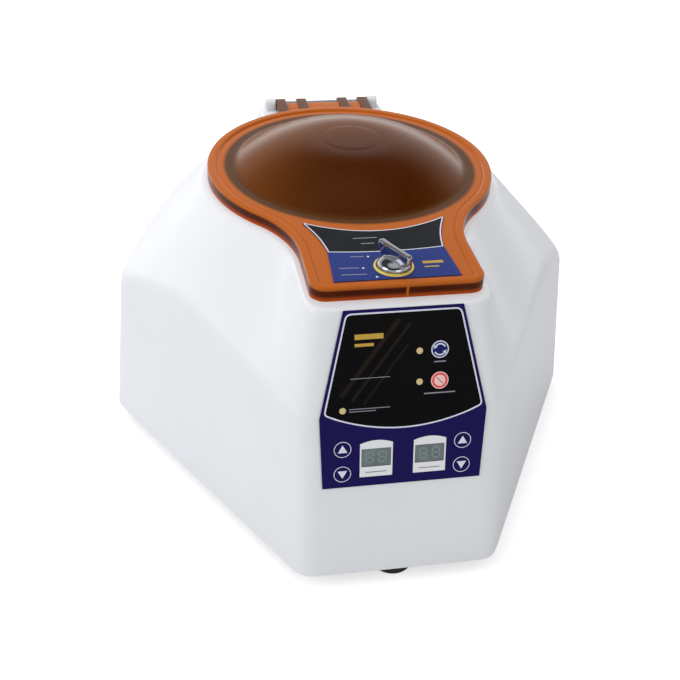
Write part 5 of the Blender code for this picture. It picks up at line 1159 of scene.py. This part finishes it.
def bowl_section():
    """The bowl's wall: down inside from the flange, round the corner to the hole, and back up outside."""
    low, over = BOWL_SEAT, BOWL_SEAT + BOWL_WALL
    middle = (BOWL_RADIUS - BOWL_CORNER, BOWL_FLOOR + BOWL_WALL + BOWL_CORNER)
    mouth = [(BOWL_RADIUS + 4 * mm, over), (BOWL_RADIUS, over), (BOWL_RADIUS, BOWL_SEAT - 8 * mm)]
    parts = (
        [(BOWL_FLANGE, low), (BOWL_FLANGE, low + BOWL_WALL * 0.7), (BOWL_FLANGE - 0.4 * mm, over)],
        rounded(mouth, 1 * mm, 5),
        arc(middle, BOWL_CORNER, 0, -math.pi / 2, 14),
        [(BOWL_HOLE, BOWL_FLOOR + BOWL_WALL), (BOWL_HOLE, BOWL_FLOOR)],
        arc(middle, BOWL_CORNER + BOWL_WALL, -math.pi / 2, 0, 14),
        [(BOWL_RADIUS + BOWL_WALL, low)],
    )
    return np.concatenate(parts)


def gasket_section():
    """The rubber ring's section: square below, well rounded above."""
    inner, outer = GASKET_RADIUS, GASKET_RADIUS + GASKET_WIDTH
    corners = [(inner, GASKET_LOW), (outer, GASKET_LOW), (outer, GASKET_HIGH), (inner, GASKET_HIGH)]
    return rounded(corners, (0.3 * mm, 0.3 * mm, 2 * mm, 2 * mm), 8, closed=True)


def rotor_section(hub_top):
    """The rotor's half section: a hub, and a head between two cones that stand square to the tubes."""
    rim = HEAD_RADIUS - HEAD_RIM
    corners = (
        (BORE_RADIUS, HUB_BOTTOM, 0.3),
        (HUB_RADIUS, HUB_BOTTOM, 1),
        (HUB_RADIUS, head_line(HEAD_BOTTOM, HUB_RADIUS + 3 * mm) - 1 * mm, 3),
        (HEAD_RADIUS, head_line(HEAD_BOTTOM, HEAD_RADIUS), 1),
        (HEAD_RADIUS, head_line(HEAD_TOP, rim) - 0.8 * mm, 1.5),
        (rim, head_line(HEAD_TOP, rim), 1.5),
        (HUB_RADIUS, head_line(HEAD_TOP, HUB_RADIUS), 0.8),
        (HUB_RADIUS, hub_top, 0.6),
        (BORE_RADIUS, hub_top, 0.3),
    )
    return rounded([corner[:2] for corner in corners], [corner[2] * mm for corner in corners], 4, closed=True)


def bore_profile():
    """A tube's stepped bore in the rotor, as a closed plug up the tube's own axis."""
    hole, collar = TUBE_RADIUS + FIT, COLLAR_RADIUS + FIT
    seat = TUBE_LENGTH - COLLAR - FIT
    low, high = TUBE_LENGTH - HEAD_BOTTOM - HUB_RADIUS, TUBE_LENGTH + 4 * COLLAR
    return [(0, low), (hole, low), (hole, seat), (collar, seat), (collar, high), (0, high)]


def shield_profile():
    """A tube shield: round tip, straight wall, collar, rolled lip and the same line again inside."""
    inner = TUBE_RADIUS - TUBE_WALL
    tip, hollow = (arc((0, TUBE_RADIUS), radius, -math.pi / 2, 0, 9) for radius in (TUBE_RADIUS, inner))
    seat = TUBE_LENGTH - COLLAR
    lip = (
        (TUBE_RADIUS, seat - 1 * mm),
        (TUBE_RADIUS, seat),
        (COLLAR_RADIUS, seat),
        (COLLAR_RADIUS, TUBE_LENGTH),
        (inner, TUBE_LENGTH),
        (inner, TUBE_LENGTH - 4 * mm),
    )
    radii = (0, 0.2 * mm, 0.5 * mm, 0.9 * mm, 0.6 * mm, 0)
    return np.concatenate([tip, rounded(lip, radii, 5), hollow[::-1]])


def nut_grid(low):
    """The hand nut: a turned profile whose outer points are drawn in by a cosine, twelve times round."""
    profile = np.array(NUT)
    grid = revolved(rounded(profile[:, :2], profile[:, 2], 4) + (0, low), NUT_SIDES, Matrix())
    a = np.linspace(0, FULL_TURN, NUT_SIDES, endpoint=False)
    reach = np.hypot(grid[:, :, 0], grid[:, :, 1])
    grip = 1 - GRIP_DEPTH * (0.5 + 0.5 * np.cos(GRIPS * a)) * (reach > GRIP_START)
    return grid * np.stack([grip, grip, np.ones_like(grip)], axis=2) + (0, AXIS_Y, 0)


class CENTRIFUGE_OT_chamber(bpy.types.Operator):
    """Spun bowl, rubber ring, cast rotor with its nut, and the six tube shields"""

    bl_idname = "centrifuge.chamber"
    bl_label = "Chamber and rotor"

    def execute(self, context):
        settings = context.scene.centrifuge_chamber
        steel = spun_steel_material(settings)
        rubber = finish("black_rubber", linear("#17171A"), "moulded_rubber")
        bowl, gasket = revolved(bowl_section(), 160), revolved(gasket_section(), 160)
        piece("spun_bowl", [bowl], steel, "base", "chamber_bowl", slot="stainless_steel", closed=True)
        piece("gasket_ring", [gasket], rubber, "base", "chamber_gasket", slot="black_rubber", closed=True)

        hub_top = head_line(HEAD_TOP, HUB_RADIUS) + HUB_RISE
        rotor = surfaces("cast_rotor", [revolved(rotor_section(hub_top), 120)], closed=True)
        matrices = [tube_matrix(index) for index in range(PLACES)]
        bores = [surfaces("bore_plug", [revolved(bore_profile(), 40, matrix)]) for matrix in matrices]
        cut_away(rotor, *bores, smooth_angle=35)
        dress(rotor, finish("cast_aluminium", settings.rotor_colour), "rotor", "rotor", slot="cast_aluminium")
        tubes = [revolved(shield_profile(), 48, matrix) for matrix in matrices]
        drawn = finish("drawn_steel", settings.shield_colour)
        names = [f"tube_shield_{index + 1}" for index in range(PLACES)]
        piece("drawn_shields", tubes, drawn, "rotor", *names, slot="stainless_steel")
        nylon = finish("moulded_black_nylon")
        piece("rotor_hand_nut", [nut_grid(hub_top + FIT)], nylon, "rotor", "rotor_nut", slot="black_nylon")
        return {"FINISHED"}


# Feet, hinge pin, and the nodes that keep their CAD shape

# Each foot's place from the rotor's axis, and its radius
FEET = {
    "foot_front": (0, -206 * mm, 14.2 * mm),
    "foot_rear_right": (72 * mm, 100 * mm, 14 * mm),
    "foot_rear_left": (-72 * mm, 100 * mm, 14 * mm),
}
FOOT_RECESS = 4 * mm
PIN_RADIUS = 1.7 * mm
SCREW_CORNERS = ("front_right", "front_left", "rear_right", "rear_left")
NODE_FINISHES = {
    "zinc_plated_steel": ("motor_plate", "latch_cam", *[f"base_screw_{corner}" for corner in SCREW_CORNERS]),
    "brushed_steel_plate": ("strike_plate",),
    "hammer_finish_paint": ("motor",),
    "black_powder_coat": ("base_plate",),
    "solder_mask_board": ("key_board", "display_board"),
    "moulded_black_plastic": ("power_inlet", "fuse_drawer", "switch_frame", "lock_solenoid"),
    "red_moulded_rocker": ("power_switch",),
}
SOFTENED_NODES = ("power_inlet", "fuse_drawer", "switch_frame", "power_switch", "strike_plate")


def soften_node(node, width):
    """Joins a CAD node's loose triangles and rounds its sharp edges."""
    node.modifiers.new("joined", "WELD").merge_threshold = 1e-6
    bevel = node.modifiers.new("soft edges", "BEVEL")
    bevel.width = width
    bevel.segments = 2
    bevel.limit_method = "ANGLE"
    bevel.angle_limit = math.radians(40)


class CENTRIFUGE_OT_fittings(bpy.types.Operator):
    """Feet and hinge pin, and the finish of every node that keeps its CAD shape"""

    bl_idname = "centrifuge.fittings"
    bl_label = "Feet and fittings"

    def execute(self, context):
        rubber = finish("foot_rubber", context.scene.centrifuge_housing.rubber_colour, "moulded_rubber")
        top, recess = FOOT_HEIGHT + 0.7 * mm, FOOT_RECESS
        for name, (x, y, radius) in FEET.items():
            corners = [(0, recess), (recess, recess), (recess + 0.5 * mm, 0), (radius - 0.8 * mm, 0)]
            corners += [(radius, 2 * mm), (radius, top), (0, top)]
            radii = (0, 0.5 * mm, 0.5 * mm, 0.7 * mm, 1 * mm, 0.6 * mm, 0)
            pad = revolved(rounded(corners, radii, 4), 72, AXIS @ Matrix.Translation((x, y, 0)))
            piece(f"{name}_pad", [pad], rubber, "base", name, slot="black_rubber")

        low, high = -EAR_CENTRE - EAR_WIDTH / 2, EAR_CENTRE + EAR_WIDTH / 2 + 0.6 * mm
        corners = [(0, low), (PIN_RADIUS, low), (PIN_RADIUS, high), (0, high)]
        place = Matrix.Translation((0, AXIS_Y + HINGE_REACH, HINGE_HEIGHT))
        across = place @ Matrix.Rotation(math.pi / 2, 4, "Y")
        pin = revolved(rounded(corners, (0, 0.3 * mm, 0.5 * mm, 0), 4), 32, across)
        steel = finish("ground_steel")
        piece("hinge_rod", [pin], steel, "base", "hinge_pin", slot="stainless_steel")

        finishes = {finish(name): names for name, names in NODE_FINISHES.items()}
        finishes[steel] = ("rotor_shaft", "lock_plunger")
        finishes[rubber] = ("shaft_boot", "isolator_1", "isolator_2", "isolator_3")
        for material, names in finishes.items():
            for name in names:
                repaint(frame["nodes"][name], material)
        for name in SOFTENED_NODES:
            soften_node(frame["nodes"][name], 0.35 * mm)
        return {"FINISHED"}


# Materials

DRIFT_SPREAD = (0.35, 0.65)  # the part of a noise that a drift uses
# Light scattered back from inside it is amber, and a low glance off it is white
ACRYLIC = {"IOR": 1.49, "Specular Tint": (1, 0.66, 0.36, 1)}
# Each finish by its shader's sockets, and three values of its own. wear is the roughness between which it
# drifts and the size in mm of the patches. tone is the same for shares of its colour, or for two colours.
# grain is the size in mm, the height in mm and the strength of its bumps.
FINISHES = {
    # A fine spark-eroded grain, 0.9 mm across, breaks up its highlights
    "moulded_white_abs": {
        "Roughness": 0.36,
        "Coat Weight": 0.15,
        "Coat Roughness": 0.25,
        "tone": (0.985, 1.01, 60),
        "grain": (0.9, 0.04, 0.5),
    },
    # Glossy, with a faint ripple, and a little light passes through it
    "thick_amber_acrylic": {
        **ACRYLIC,
        "Roughness": 0.16,
        "Specular IOR Level": 0.16,
        "Transmission Weight": 0.03,
        "grain": (2.2, 0.02, 0.5),
    },
    "thin_amber_acrylic": {
        **ACRYLIC,
        "Roughness": 0.16,
        "Specular IOR Level": 0.05,
        "Transmission Weight": 0.03,
        "grain": (2.2, 0.02, 0.5),
    },
    # Satin all over, from a fine ripple left by the mould
    "amber_acrylic": {
        **ACRYLIC,
        "Roughness": 0.24,
        "Specular IOR Level": 0.12,
        "Transmission Weight": 0.06,
        "grain": (0.8, 0.012, 0.5),
    },
    # Polyester printed from behind: even colour under a smooth face with a faint orange-peel gloss
    "overlay_print": {"Roughness": 0.3, "Specular IOR Level": 0.06, "wear": (0.25, 0.36, 18)},
    # Flat and slightly dull
    "screen_ink": {"Roughness": 0.45, "Specular IOR Level": 0.15, "wear": (0.4, 0.5, 4)},
    # Smooth and grey-green, with a slow drift of tone behind the segments
    "liquid_crystal_glass": {
        "Roughness": 0.12,
        "IOR": 1.52,
        "Specular IOR Level": 0.2,
        "tone": (0.86, 1.08, 7),
    },
    # A diffusing lens over an unlit lamp
    "cream_lamp_lens": {
        "Roughness": 0.25,
        "Subsurface Weight": 0.2,
        "Subsurface Scale": 0.5 * mm,
        "grain": (0.5, 0.01, 0.5),
    },
    # Mirror bright, with a faint drift in its polish
    "chrome_plate": {"colour": "#A6A9AE", "Roughness": 0.06, "Metallic": 1, "wear": (0.04, 0.1, 5)},
    # A satin face
    "yellow_anodised_ring": {"Roughness": 0.3, "wear": (0.25, 0.38, 3)},
    # Shot-blasted: an even dull grain, 0.5 mm across
    "cast_aluminium": {"Roughness": 0.42, "Metallic": 1, "wear": (0.36, 0.5, 9), "grain": (0.5, 0.05, 0.5)},
    # Bright, with a faint drift in its polish
    "drawn_steel": {"Roughness": 0.2, "Metallic": 1, "wear": (0.16, 0.28, 8)},
    # Ground or plated steel, with faint handling marks in its polish
    "ground_steel": {"colour": "#BFC2C6", "Roughness": 0.22, "Metallic": 1, "wear": (0.187, 0.275, 5)},
    "zinc_plated_steel": {"colour": "#A5A8A6", "Roughness": 0.4, "Metallic": 1, "wear": (0.34, 0.5, 5)},
    "brushed_steel_plate": {"colour": "#B9BCC0", "Roughness": 0.3, "Metallic": 1, "wear": (0.255, 0.375, 5)},
    # Dull, with a fine dry grain, 0.8 mm across
    "moulded_rubber": {"Roughness": 0.72, "grain": (0.8, 0.06, 0.5)},
    # A satin grain
    "moulded_black_nylon": {"colour": "#1B1B1D", "Roughness": 0.45, "grain": (0.7, 0.03, 0.5)},
    # Semi-gloss, as on electrical fittings
    "moulded_black_plastic": {"colour": "#18191B", "Roughness": 0.38, "grain": (0.8, 0.02, 0.5)},
    # Glossy
    "red_moulded_rocker": {
        "colour": "#A51A18",
        "Roughness": 0.22,
        "Coat Weight": 0.3,
        "wear": (0.18, 0.28, 4),
    },
    # Dimples about 2.5 mm across under gloss
    "hammer_finish_paint": {"colour": "#3C4043", "Roughness": 0.32, "grain": (2.5, 0.15, 0.6)},
    # Black powder coat on sheet steel: a leathery texture, 1.2 mm across
    "black_powder_coat": {"colour": "#1F2022", "Roughness": 0.5, "grain": (1.2, 0.06, 0.5)},
    # Green solder mask over glass laminate
    "solder_mask_board": {"colour": "#1E5A36", "Roughness": 0.35, "tone": ("#1A5231", "#22633C", 4)},
    # Spun stainless steel
    "spun_stainless_steel": {"Roughness": 0.28, "Metallic": 1},
    # Plain matt paper: white to the camera, and it still takes the object's shadow
    "paper_floor": {"Roughness": 0.9, "Emission Color": (1, 1, 1, 1)},
}
# Where each band painted on the lid begins and where it is full: the lid's own colour over the deck and the
# gasket, and painted shade and light over the chamber and in the skirt
OVER_GASKET = (94 * mm, 90 * mm)  # from the rotor's axis
# Over the chamber the lid is painted with the chamber's shade
OVER_CHAMBER = (87 * mm, 81 * mm)
OUTSIDE = (99 * mm, 101 * mm)
DARK_MIDDLE, TOWARDS_WALL = 55 * mm, (25 * mm, 100 * mm)  # the chamber's painted shade is darkest in front of its axis, and painted light grows towards its wall
# OUTSIDE, UPRIGHT and IN_EDGE mark the skirt, painted dark red for the shade inside it
UPRIGHT = (0.7, 0.4)  # by the upward part of the face's direction
IN_EDGE = (LID_TOP - 1.2 * mm, LID_TOP - 3.2 * mm)
# The skirt's foot, painted with a glow of light passing through the lid
AT_FOOT = (LID_BOTTOM + 4 * mm, LID_BOTTOM + 0.5 * mm)
SPECK_SIZE, SPECKS, SPECK_TINT = 1.3 * mm, (0.5, 0.75), (1.5, 1.7, 1.9)
# A bright line painted down the skirt's front in the rim's amber: place across, half width and depth
SKIRT_LINE_PLACE, SKIRT_LINE_WIDTH = 4.5 * mm, (1.1 * mm, 0.5 * mm)
SKIRT_LINE_DEPTH = (AXIS_Y - TONGUE_REACH + 0.6 * mm, AXIS_Y - TONGUE_REACH + 0.2 * mm)


def add_node(tree, kind, inputs=None, **settings):
    """Adds a node with its settings. An input is linked if it is given a socket and set if given a value."""
    made = tree.nodes.new(kind)
    for name, value in settings.items():
        setattr(made, name, value)
    for name, value in (inputs or {}).items():
        if isinstance(value, bpy.types.NodeSocket):
            tree.links.new(value, made.inputs[name])
        else:
            made.inputs[name].default_value = value
    return made


def object_point(tree):
    """The place on the piece, in metres."""
    return add_node(tree, "ShaderNodeTexCoord").outputs["Object"]


def grain_bump(tree, shader, size, height, strength, vector=None):
    """Fine grain of a surface: noise whose lumps are size across, raised by height, as a bump."""
    noise = {"Vector": vector or object_point(tree), "Scale": 1 / size, "Detail": 2.0}
    noise = add_node(tree, "ShaderNodeTexNoise", noise).outputs["Fac"]
    bump = add_node(tree, "ShaderNodeBump", {"Height": noise, "Strength": strength, "Distance": height})
    tree.links.new(bump.outputs["Normal"], shader.inputs["Normal"])


def drift(tree, size, first, second):
    """A number or a colour that drifts between two values over patches of a size, as on handled surfaces."""
    noise = {"Vector": object_point(tree), "Scale": 1 / size, "Detail": 3.0}
    noise = add_node(tree, "ShaderNodeTexNoise", noise).outputs["Fac"]
    start, end = DRIFT_SPREAD
    if np.ndim(first) == 0:
        inputs = {"Value": noise, "From Min": start, "From Max": end, "To Min": first, "To Max": second}
        return add_node(tree, "ShaderNodeMapRange", inputs).outputs["Result"]
    ramp = add_node(tree, "ShaderNodeValToRGB", {"Fac": noise})
    low, high = ramp.color_ramp.elements
    low.position, high.position = start, end
    low.color, high.color = (*first, 1), (*second, 1)
    return ramp.outputs["Color"]


def finish(name, colour=None, kind=None):
    """A Principled material in one of the finishes, which is its own name's unless another is given."""
    sockets = dict(FINISHES[kind or name])
    own = sockets.pop("colour", None)
    base = np.array(linear(own) if colour is None else colour)
    tone, wear, grain = (sockets.pop(key, None) for key in ("tone", "wear", "grain"))
    material = bpy.data.materials.new(name)
    material.use_nodes = True
    tree = material.node_tree
    shader = tree.nodes["Principled BSDF"]
    for socket, value in {"Base Color": (*base, 1), **sockets}.items():
        shader.inputs[socket].default_value = value
    if tone:
        *ends, size = tone
        ends = [linear(end) if isinstance(end, str) else np.minimum(base * end, 1) for end in ends]
        tree.links.new(drift(tree, size * mm, *ends), shader.inputs["Base Color"])
    if wear:
        low, high, size = wear
        tree.links.new(drift(tree, size * mm, low, high), shader.inputs["Roughness"])
    if grain:
        size, height, strength = grain
        grain_bump(tree, shader, size * mm, height * mm, strength)
    return material


def step_between(tree, value, start, end):
    """0 before start, 1 past end, smooth between."""
    inputs = {"Value": value, "From Min": start, "From Max": end}
    return add_node(tree, "ShaderNodeMapRange", inputs, interpolation_type="SMOOTHSTEP").outputs["Result"]


def distance_from(tree, value, place):
    """How far a coordinate is from a place, without its sign."""
    offset = add_node(tree, "ShaderNodeMath", {0: value, 1: place}, operation="SUBTRACT").outputs["Value"]
    return add_node(tree, "ShaderNodeMath", {0: offset}, operation="ABSOLUTE").outputs["Value"]


def axis_radius(tree, y=AXIS_Y):
    """Distance from the rotor's axis, or from another upright line in the middle plane, in metres."""
    flat = add_node(tree, "ShaderNodeVectorMath", {0: object_point(tree), 1: (1, 1, 0)}, operation="MULTIPLY")
    inputs = {0: flat.outputs["Vector"], 1: (0, y, 0)}
    return add_node(tree, "ShaderNodeVectorMath", inputs, operation="DISTANCE").outputs["Value"]


def both(tree, *shares):
    """How far several conditions hold at once: the product of their shares."""
    product, *others = shares
    for share in others:
        pair = {0: product, 1: share}
        product = add_node(tree, "ShaderNodeMath", pair, operation="MULTIPLY").outputs["Value"]
    return product


def mixed(tree, share, first, second):
    """One colour over another by a share from 0 to 1."""
    return add_node(tree, "ShaderNodeMix", {0: share, 6: first, 7: second}, data_type="RGBA").outputs[2]


def amber_acrylic_material(settings):
    """Moulded amber acrylic that shows what is under it.

    It is orange over the white deck and grey-brown over the gasket. Over the chamber it has painted shade,
    deep brown in the middle, and painted light, lighter towards the chamber's far wall. Its own edge is
    painted dark red for the shade inside it, with a painted glow of light at its foot, and a bright line
    painted down its front.
    """
    material = finish("amber_acrylic", settings.rim_colour)
    tree = material.node_tree
    names = ("rim", "band", "dome", "lit_brim", "skirt", "glow")
    rim, band, dome, lit_brim, skirt, glow = ((*getattr(settings, f"{name}_colour"), 1) for name in names)
    radius = axis_radius(tree)
    place = add_node(tree, "ShaderNodeSeparateXYZ", {0: object_point(tree)}).outputs
    facing = add_node(tree, "ShaderNodeTexCoord").outputs["Normal"]
    facing = add_node(tree, "ShaderNodeSeparateXYZ", {0: facing}).outputs["Z"]
    upright = step_between(tree, distance_from(tree, facing, 0.0), *UPRIGHT)
    in_edge = step_between(tree, place["Z"], *IN_EDGE)
    outside = step_between(tree, radius, *OUTSIDE)
    at_foot = step_between(tree, place["Z"], *AT_FOOT)
    skirt_line = step_between(tree, distance_from(tree, place["X"], SKIRT_LINE_PLACE), *SKIRT_LINE_WIDTH)
    on_front = step_between(tree, place["Y"], *SKIRT_LINE_DEPTH)
    specks = {"Vector": object_point(tree), "Scale": 1 / SPECK_SIZE, "Detail": 2.0}
    specks = add_node(tree, "ShaderNodeTexNoise", specks).outputs["Fac"]
    lighter = (*(channel * share for channel, share in zip(dome, SPECK_TINT)), 1)
    # Painted shade over the chamber, with random lighter flecks
    chamber = mixed(tree, step_between(tree, specks, *SPECKS), dome, lighter)
    # Painted light: lighter towards the chamber's far wall
    towards_wall = step_between(tree, axis_radius(tree, AXIS_Y - DARK_MIDDLE), *TOWARDS_WALL)
    chamber = mixed(tree, towards_wall, chamber, lit_brim)
    colour = mixed(tree, step_between(tree, radius, *OVER_GASKET), rim, band)
    colour = mixed(tree, step_between(tree, radius, *OVER_CHAMBER), colour, chamber)
    # Painted shade in the skirt's upright edge, turning to a painted glow of light at its foot
    colour = mixed(tree, both(tree, in_edge, outside, upright), colour, mixed(tree, at_foot, skirt, glow))
    # A bright line painted down the skirt's front in the rim's amber
    colour = mixed(tree, both(tree, skirt_line, on_front), colour, rim)
    tree.links.new(colour, tree.nodes["Principled BSDF"].inputs["Base Color"])
    return material


def spun_steel_material(settings):
    """Spun stainless steel: fine rings round the axis, 0.7 mm apart, left by the spinning tool."""
    material = finish("spun_stainless_steel", settings.bowl_colour)
    tree = material.node_tree
    height = add_node(tree, "ShaderNodeSeparateXYZ", {0: object_point(tree)}).outputs["Z"]
    lines = add_node(tree, "ShaderNodeCombineXYZ", {0: axis_radius(tree), 2: height}).outputs["Vector"]
    grain_bump(tree, tree.nodes["Principled BSDF"], 0.7 * mm, 0.02 * mm, 0.4, lines)
    return material


# Stage

CAMERA_LENS, SENSOR_WIDTH = 59.56, 36
# From the middle of the lid's rim
CAMERA_PLACE = Vector((-156.1 * mm, -739.3 * mm, 358.3 * mm))
CAMERA_AZIMUTH, CAMERA_ELEVATION, CAMERA_ROLL = (math.radians(a) for a in (-11.894, 34.351, 3.003))
FLOOR_REACH, FLOOR_DROP = 6.0, 0.2 * mm
LIGHT_AIM = Vector((0, 0, 0.1))
# Each light's place and size in metres, its share of the key power, and whether glossy faces show its image
LIGHTS = {
    "overhead_softbox": ((-0.35, 0.55, 1.25), 1.1, 1.0, False),
    "left_softbox": ((-1.4, -0.5, 0.9), 0.9, 0.75, True),
    "front_fill": ((0.5, -1.6, 0.9), 0.9, 0.42, True),
}
# The studio, by the upward and the backward part of a ray's direction, and its levels
CEILING, LOW, BEHIND, OVERHEAD = (0.66, 0.42), (0.26, 0.02), (0.1, 0.7), (0.86, 0.98)
PLAIN_LEVELS, CEILING_LEVELS = (0.5, 1.0), (0.08, 0.9)
BACKDROP_LEVEL, OVERHEAD_LEVEL = 1.5, 0.7
FLOOR_GLOW = 0.56


def soft_light(scene, name, place, size, power, in_reflections):
    """A square soft light that faces the middle of the object."""
    data = bpy.data.lights.new(name, "AREA")
    data.shape = "RECTANGLE"
    data.size = data.size_y = size
    data.energy = power
    lamp = bpy.data.objects.new(name, data)
    lamp.rotation_mode = "QUATERNION"
    lamp.rotation_quaternion = (LIGHT_AIM - place).to_track_quat("-Z", "Y")
    lamp.location = place
    lamp.visible_glossy = in_reflections
    scene.collection.objects.link(lamp)


def studio_world(scene):
    """White for the camera and through glass, and a softer level as light.

    Reflections see it white round about, dark above with a pale lamp straight overhead, and brightest low
    behind the object, as in a studio with a dark ceiling and a lit backdrop. A ray that was mirrored before,
    as inside the steel bowl, sees no dark ceiling.
    """
    world = bpy.data.worlds.new("studio")
    world.use_nodes = True
    tree = world.node_tree
    path = add_node(tree, "ShaderNodeLightPath").outputs
    rays = {0: path["Is Camera Ray"], 1: path["Is Transmission Ray"]}
    seen = add_node(tree, "ShaderNodeMath", rays, operation="MAXIMUM").outputs["Value"]
    again = {0: path["Glossy Depth"], 1: 1.5}
    again = add_node(tree, "ShaderNodeMath", again, operation="GREATER_THAN").outputs["Value"]
    direction = add_node(tree, "ShaderNodeTexCoord").outputs["Generated"]
    rise = add_node(tree, "ShaderNodeSeparateXYZ", {0: direction}).outputs
    below = {0: step_between(tree, rise["Z"], *CEILING), 1: again}
    below = add_node(tree, "ShaderNodeMath", below, operation="MAXIMUM").outputs["Value"]
    levels = []
    for share, (low, high) in ((seen, PLAIN_LEVELS), (below, CEILING_LEVELS)):
        inputs = {"Value": share, "To Min": low, "To Max": high}
        levels.append(add_node(tree, "ShaderNodeMapRange", inputs).outputs["Result"])
    plain, reflected = levels
    backdrop = both(tree, step_between(tree, rise["Z"], *LOW), step_between(tree, rise["Y"], *BEHIND))
    overhead = step_between(tree, rise["Z"], *OVERHEAD)
    for share, level in ((backdrop, BACKDROP_LEVEL), (overhead, OVERHEAD_LEVEL)):
        inputs = {0: share, 1: level, 2: reflected}
        reflected = add_node(tree, "ShaderNodeMath", inputs, operation="MULTIPLY_ADD").outputs["Value"]
    shares = {0: path["Is Glossy Ray"], 2: plain, 3: reflected}
    strength = add_node(tree, "ShaderNodeMix", shares, data_type="FLOAT").outputs[0]
    background = tree.nodes["Background"].inputs
    background["Color"].default_value = (1, 1, 1, 1)
    tree.links.new(strength, background["Strength"])
    scene.world = world


class CENTRIFUGE_OT_stage(bpy.types.Operator):
    """Pale floor, soft studio light and the camera"""

    bl_idname = "centrifuge.stage"
    bl_label = "Stage"

    def execute(self, context):
        scene = context.scene
        settings = scene.centrifuge_stage
        scene.view_settings.view_transform = "Standard"
        azimuth, elevation, roll = CAMERA_AZIMUTH, CAMERA_ELEVATION, CAMERA_ROLL
        level = Vector((math.sin(azimuth), -math.cos(azimuth), 0))
        back = level * math.cos(elevation) + Vector((0, 0, math.sin(elevation)))
        right = Vector((math.cos(azimuth), math.sin(azimuth), 0))
        up = back.cross(right)
        across = right * math.cos(roll) + up * math.sin(roll)
        over = up * math.cos(roll) - right * math.sin(roll)
        camera = bpy.data.objects.new("camera", bpy.data.cameras.new("camera"))
        camera.data.lens = CAMERA_LENS
        camera.data.sensor_width = SENSOR_WIDTH
        spot = CAMERA_PLACE + Vector((0, AXIS_Y, LID_TOP))
        camera.matrix_world = Matrix.Translation(spot) @ Matrix((across, over, back)).transposed().to_4x4()
        scene.collection.objects.link(camera)
        scene.camera = camera

        studio_world(scene)
        reach, z = FLOOR_REACH, -FLOOR_DROP
        corners = np.array([(-reach, -reach, z), (reach, -reach, z), (reach, reach, z), (-reach, reach, z)])
        floor = mesh_object("floor", corners, np.arange(4)[None])
        paper = finish("paper_floor", settings.floor_colour)
        tree = paper.node_tree
        seen = add_node(tree, "ShaderNodeLightPath").outputs["Is Camera Ray"]
        glow = add_node(tree, "ShaderNodeMapRange", {"Value": seen, "To Min": 0.0, "To Max": FLOOR_GLOW})
        tree.links.new(glow.outputs["Result"], tree.nodes["Principled BSDF"].inputs["Emission Strength"])
        floor.data.materials.append(paper)
        for name, (place, size, share, in_reflections) in LIGHTS.items():
            soft_light(scene, name, Vector(place), size, settings.key_power * share, in_reflections)
        return {"FINISHED"}


class CENTRIFUGE_PT_panel(bpy.types.Panel):
    """Sizes and colours of the centrifuge"""

    bl_label = "Bench centrifuge"
    bl_idname = "CENTRIFUGE_PT_panel"
    bl_space_type = "VIEW_3D"
    bl_region_type = "UI"
    bl_category = "Centrifuge"

    def draw(self, context):
        for operator in OPERATORS:
            self.layout.operator(operator.bl_idname)
        for name, group in SETTINGS.items():
            box = self.layout.box()
            for field in group.__annotations__:
                box.prop(getattr(context.scene, name), field)


OPERATORS = (
    CENTRIFUGE_OT_stage,
    CENTRIFUGE_OT_housing,
    CENTRIFUGE_OT_lid,
    CENTRIFUGE_OT_latch,
    CENTRIFUGE_OT_panel,
    CENTRIFUGE_OT_keys,
    CENTRIFUGE_OT_chamber,
    CENTRIFUGE_OT_fittings,
)
SETTINGS = {
    "centrifuge_housing": HousingSettings,
    "centrifuge_lid": LidSettings,
    "centrifuge_panel": PanelSettings,
    "centrifuge_latch": LatchSettings,
    "centrifuge_chamber": ChamberSettings,
    "centrifuge_stage": StageSettings,
}


def register():
    for group in SETTINGS.values():
        bpy.utils.register_class(group)
    for name, group in SETTINGS.items():
        setattr(bpy.types.Scene, name, bpy.props.PointerProperty(type=group))
    for operator in OPERATORS:
        bpy.utils.register_class(operator)
    bpy.utils.register_class(CENTRIFUGE_PT_panel)


def unregister():
    bpy.utils.unregister_class(CENTRIFUGE_PT_panel)
    for operator in reversed(OPERATORS):
        bpy.utils.unregister_class(operator)
    for name in SETTINGS:
        delattr(bpy.types.Scene, name)
    for group in reversed(SETTINGS.values()):
        bpy.utils.unregister_class(group)


def main():
    register()
    for operator in OPERATORS:
        group, action = operator.bl_idname.split(".")
        getattr(getattr(bpy.ops, group), action)()


if __name__ == "__main__":
    main()
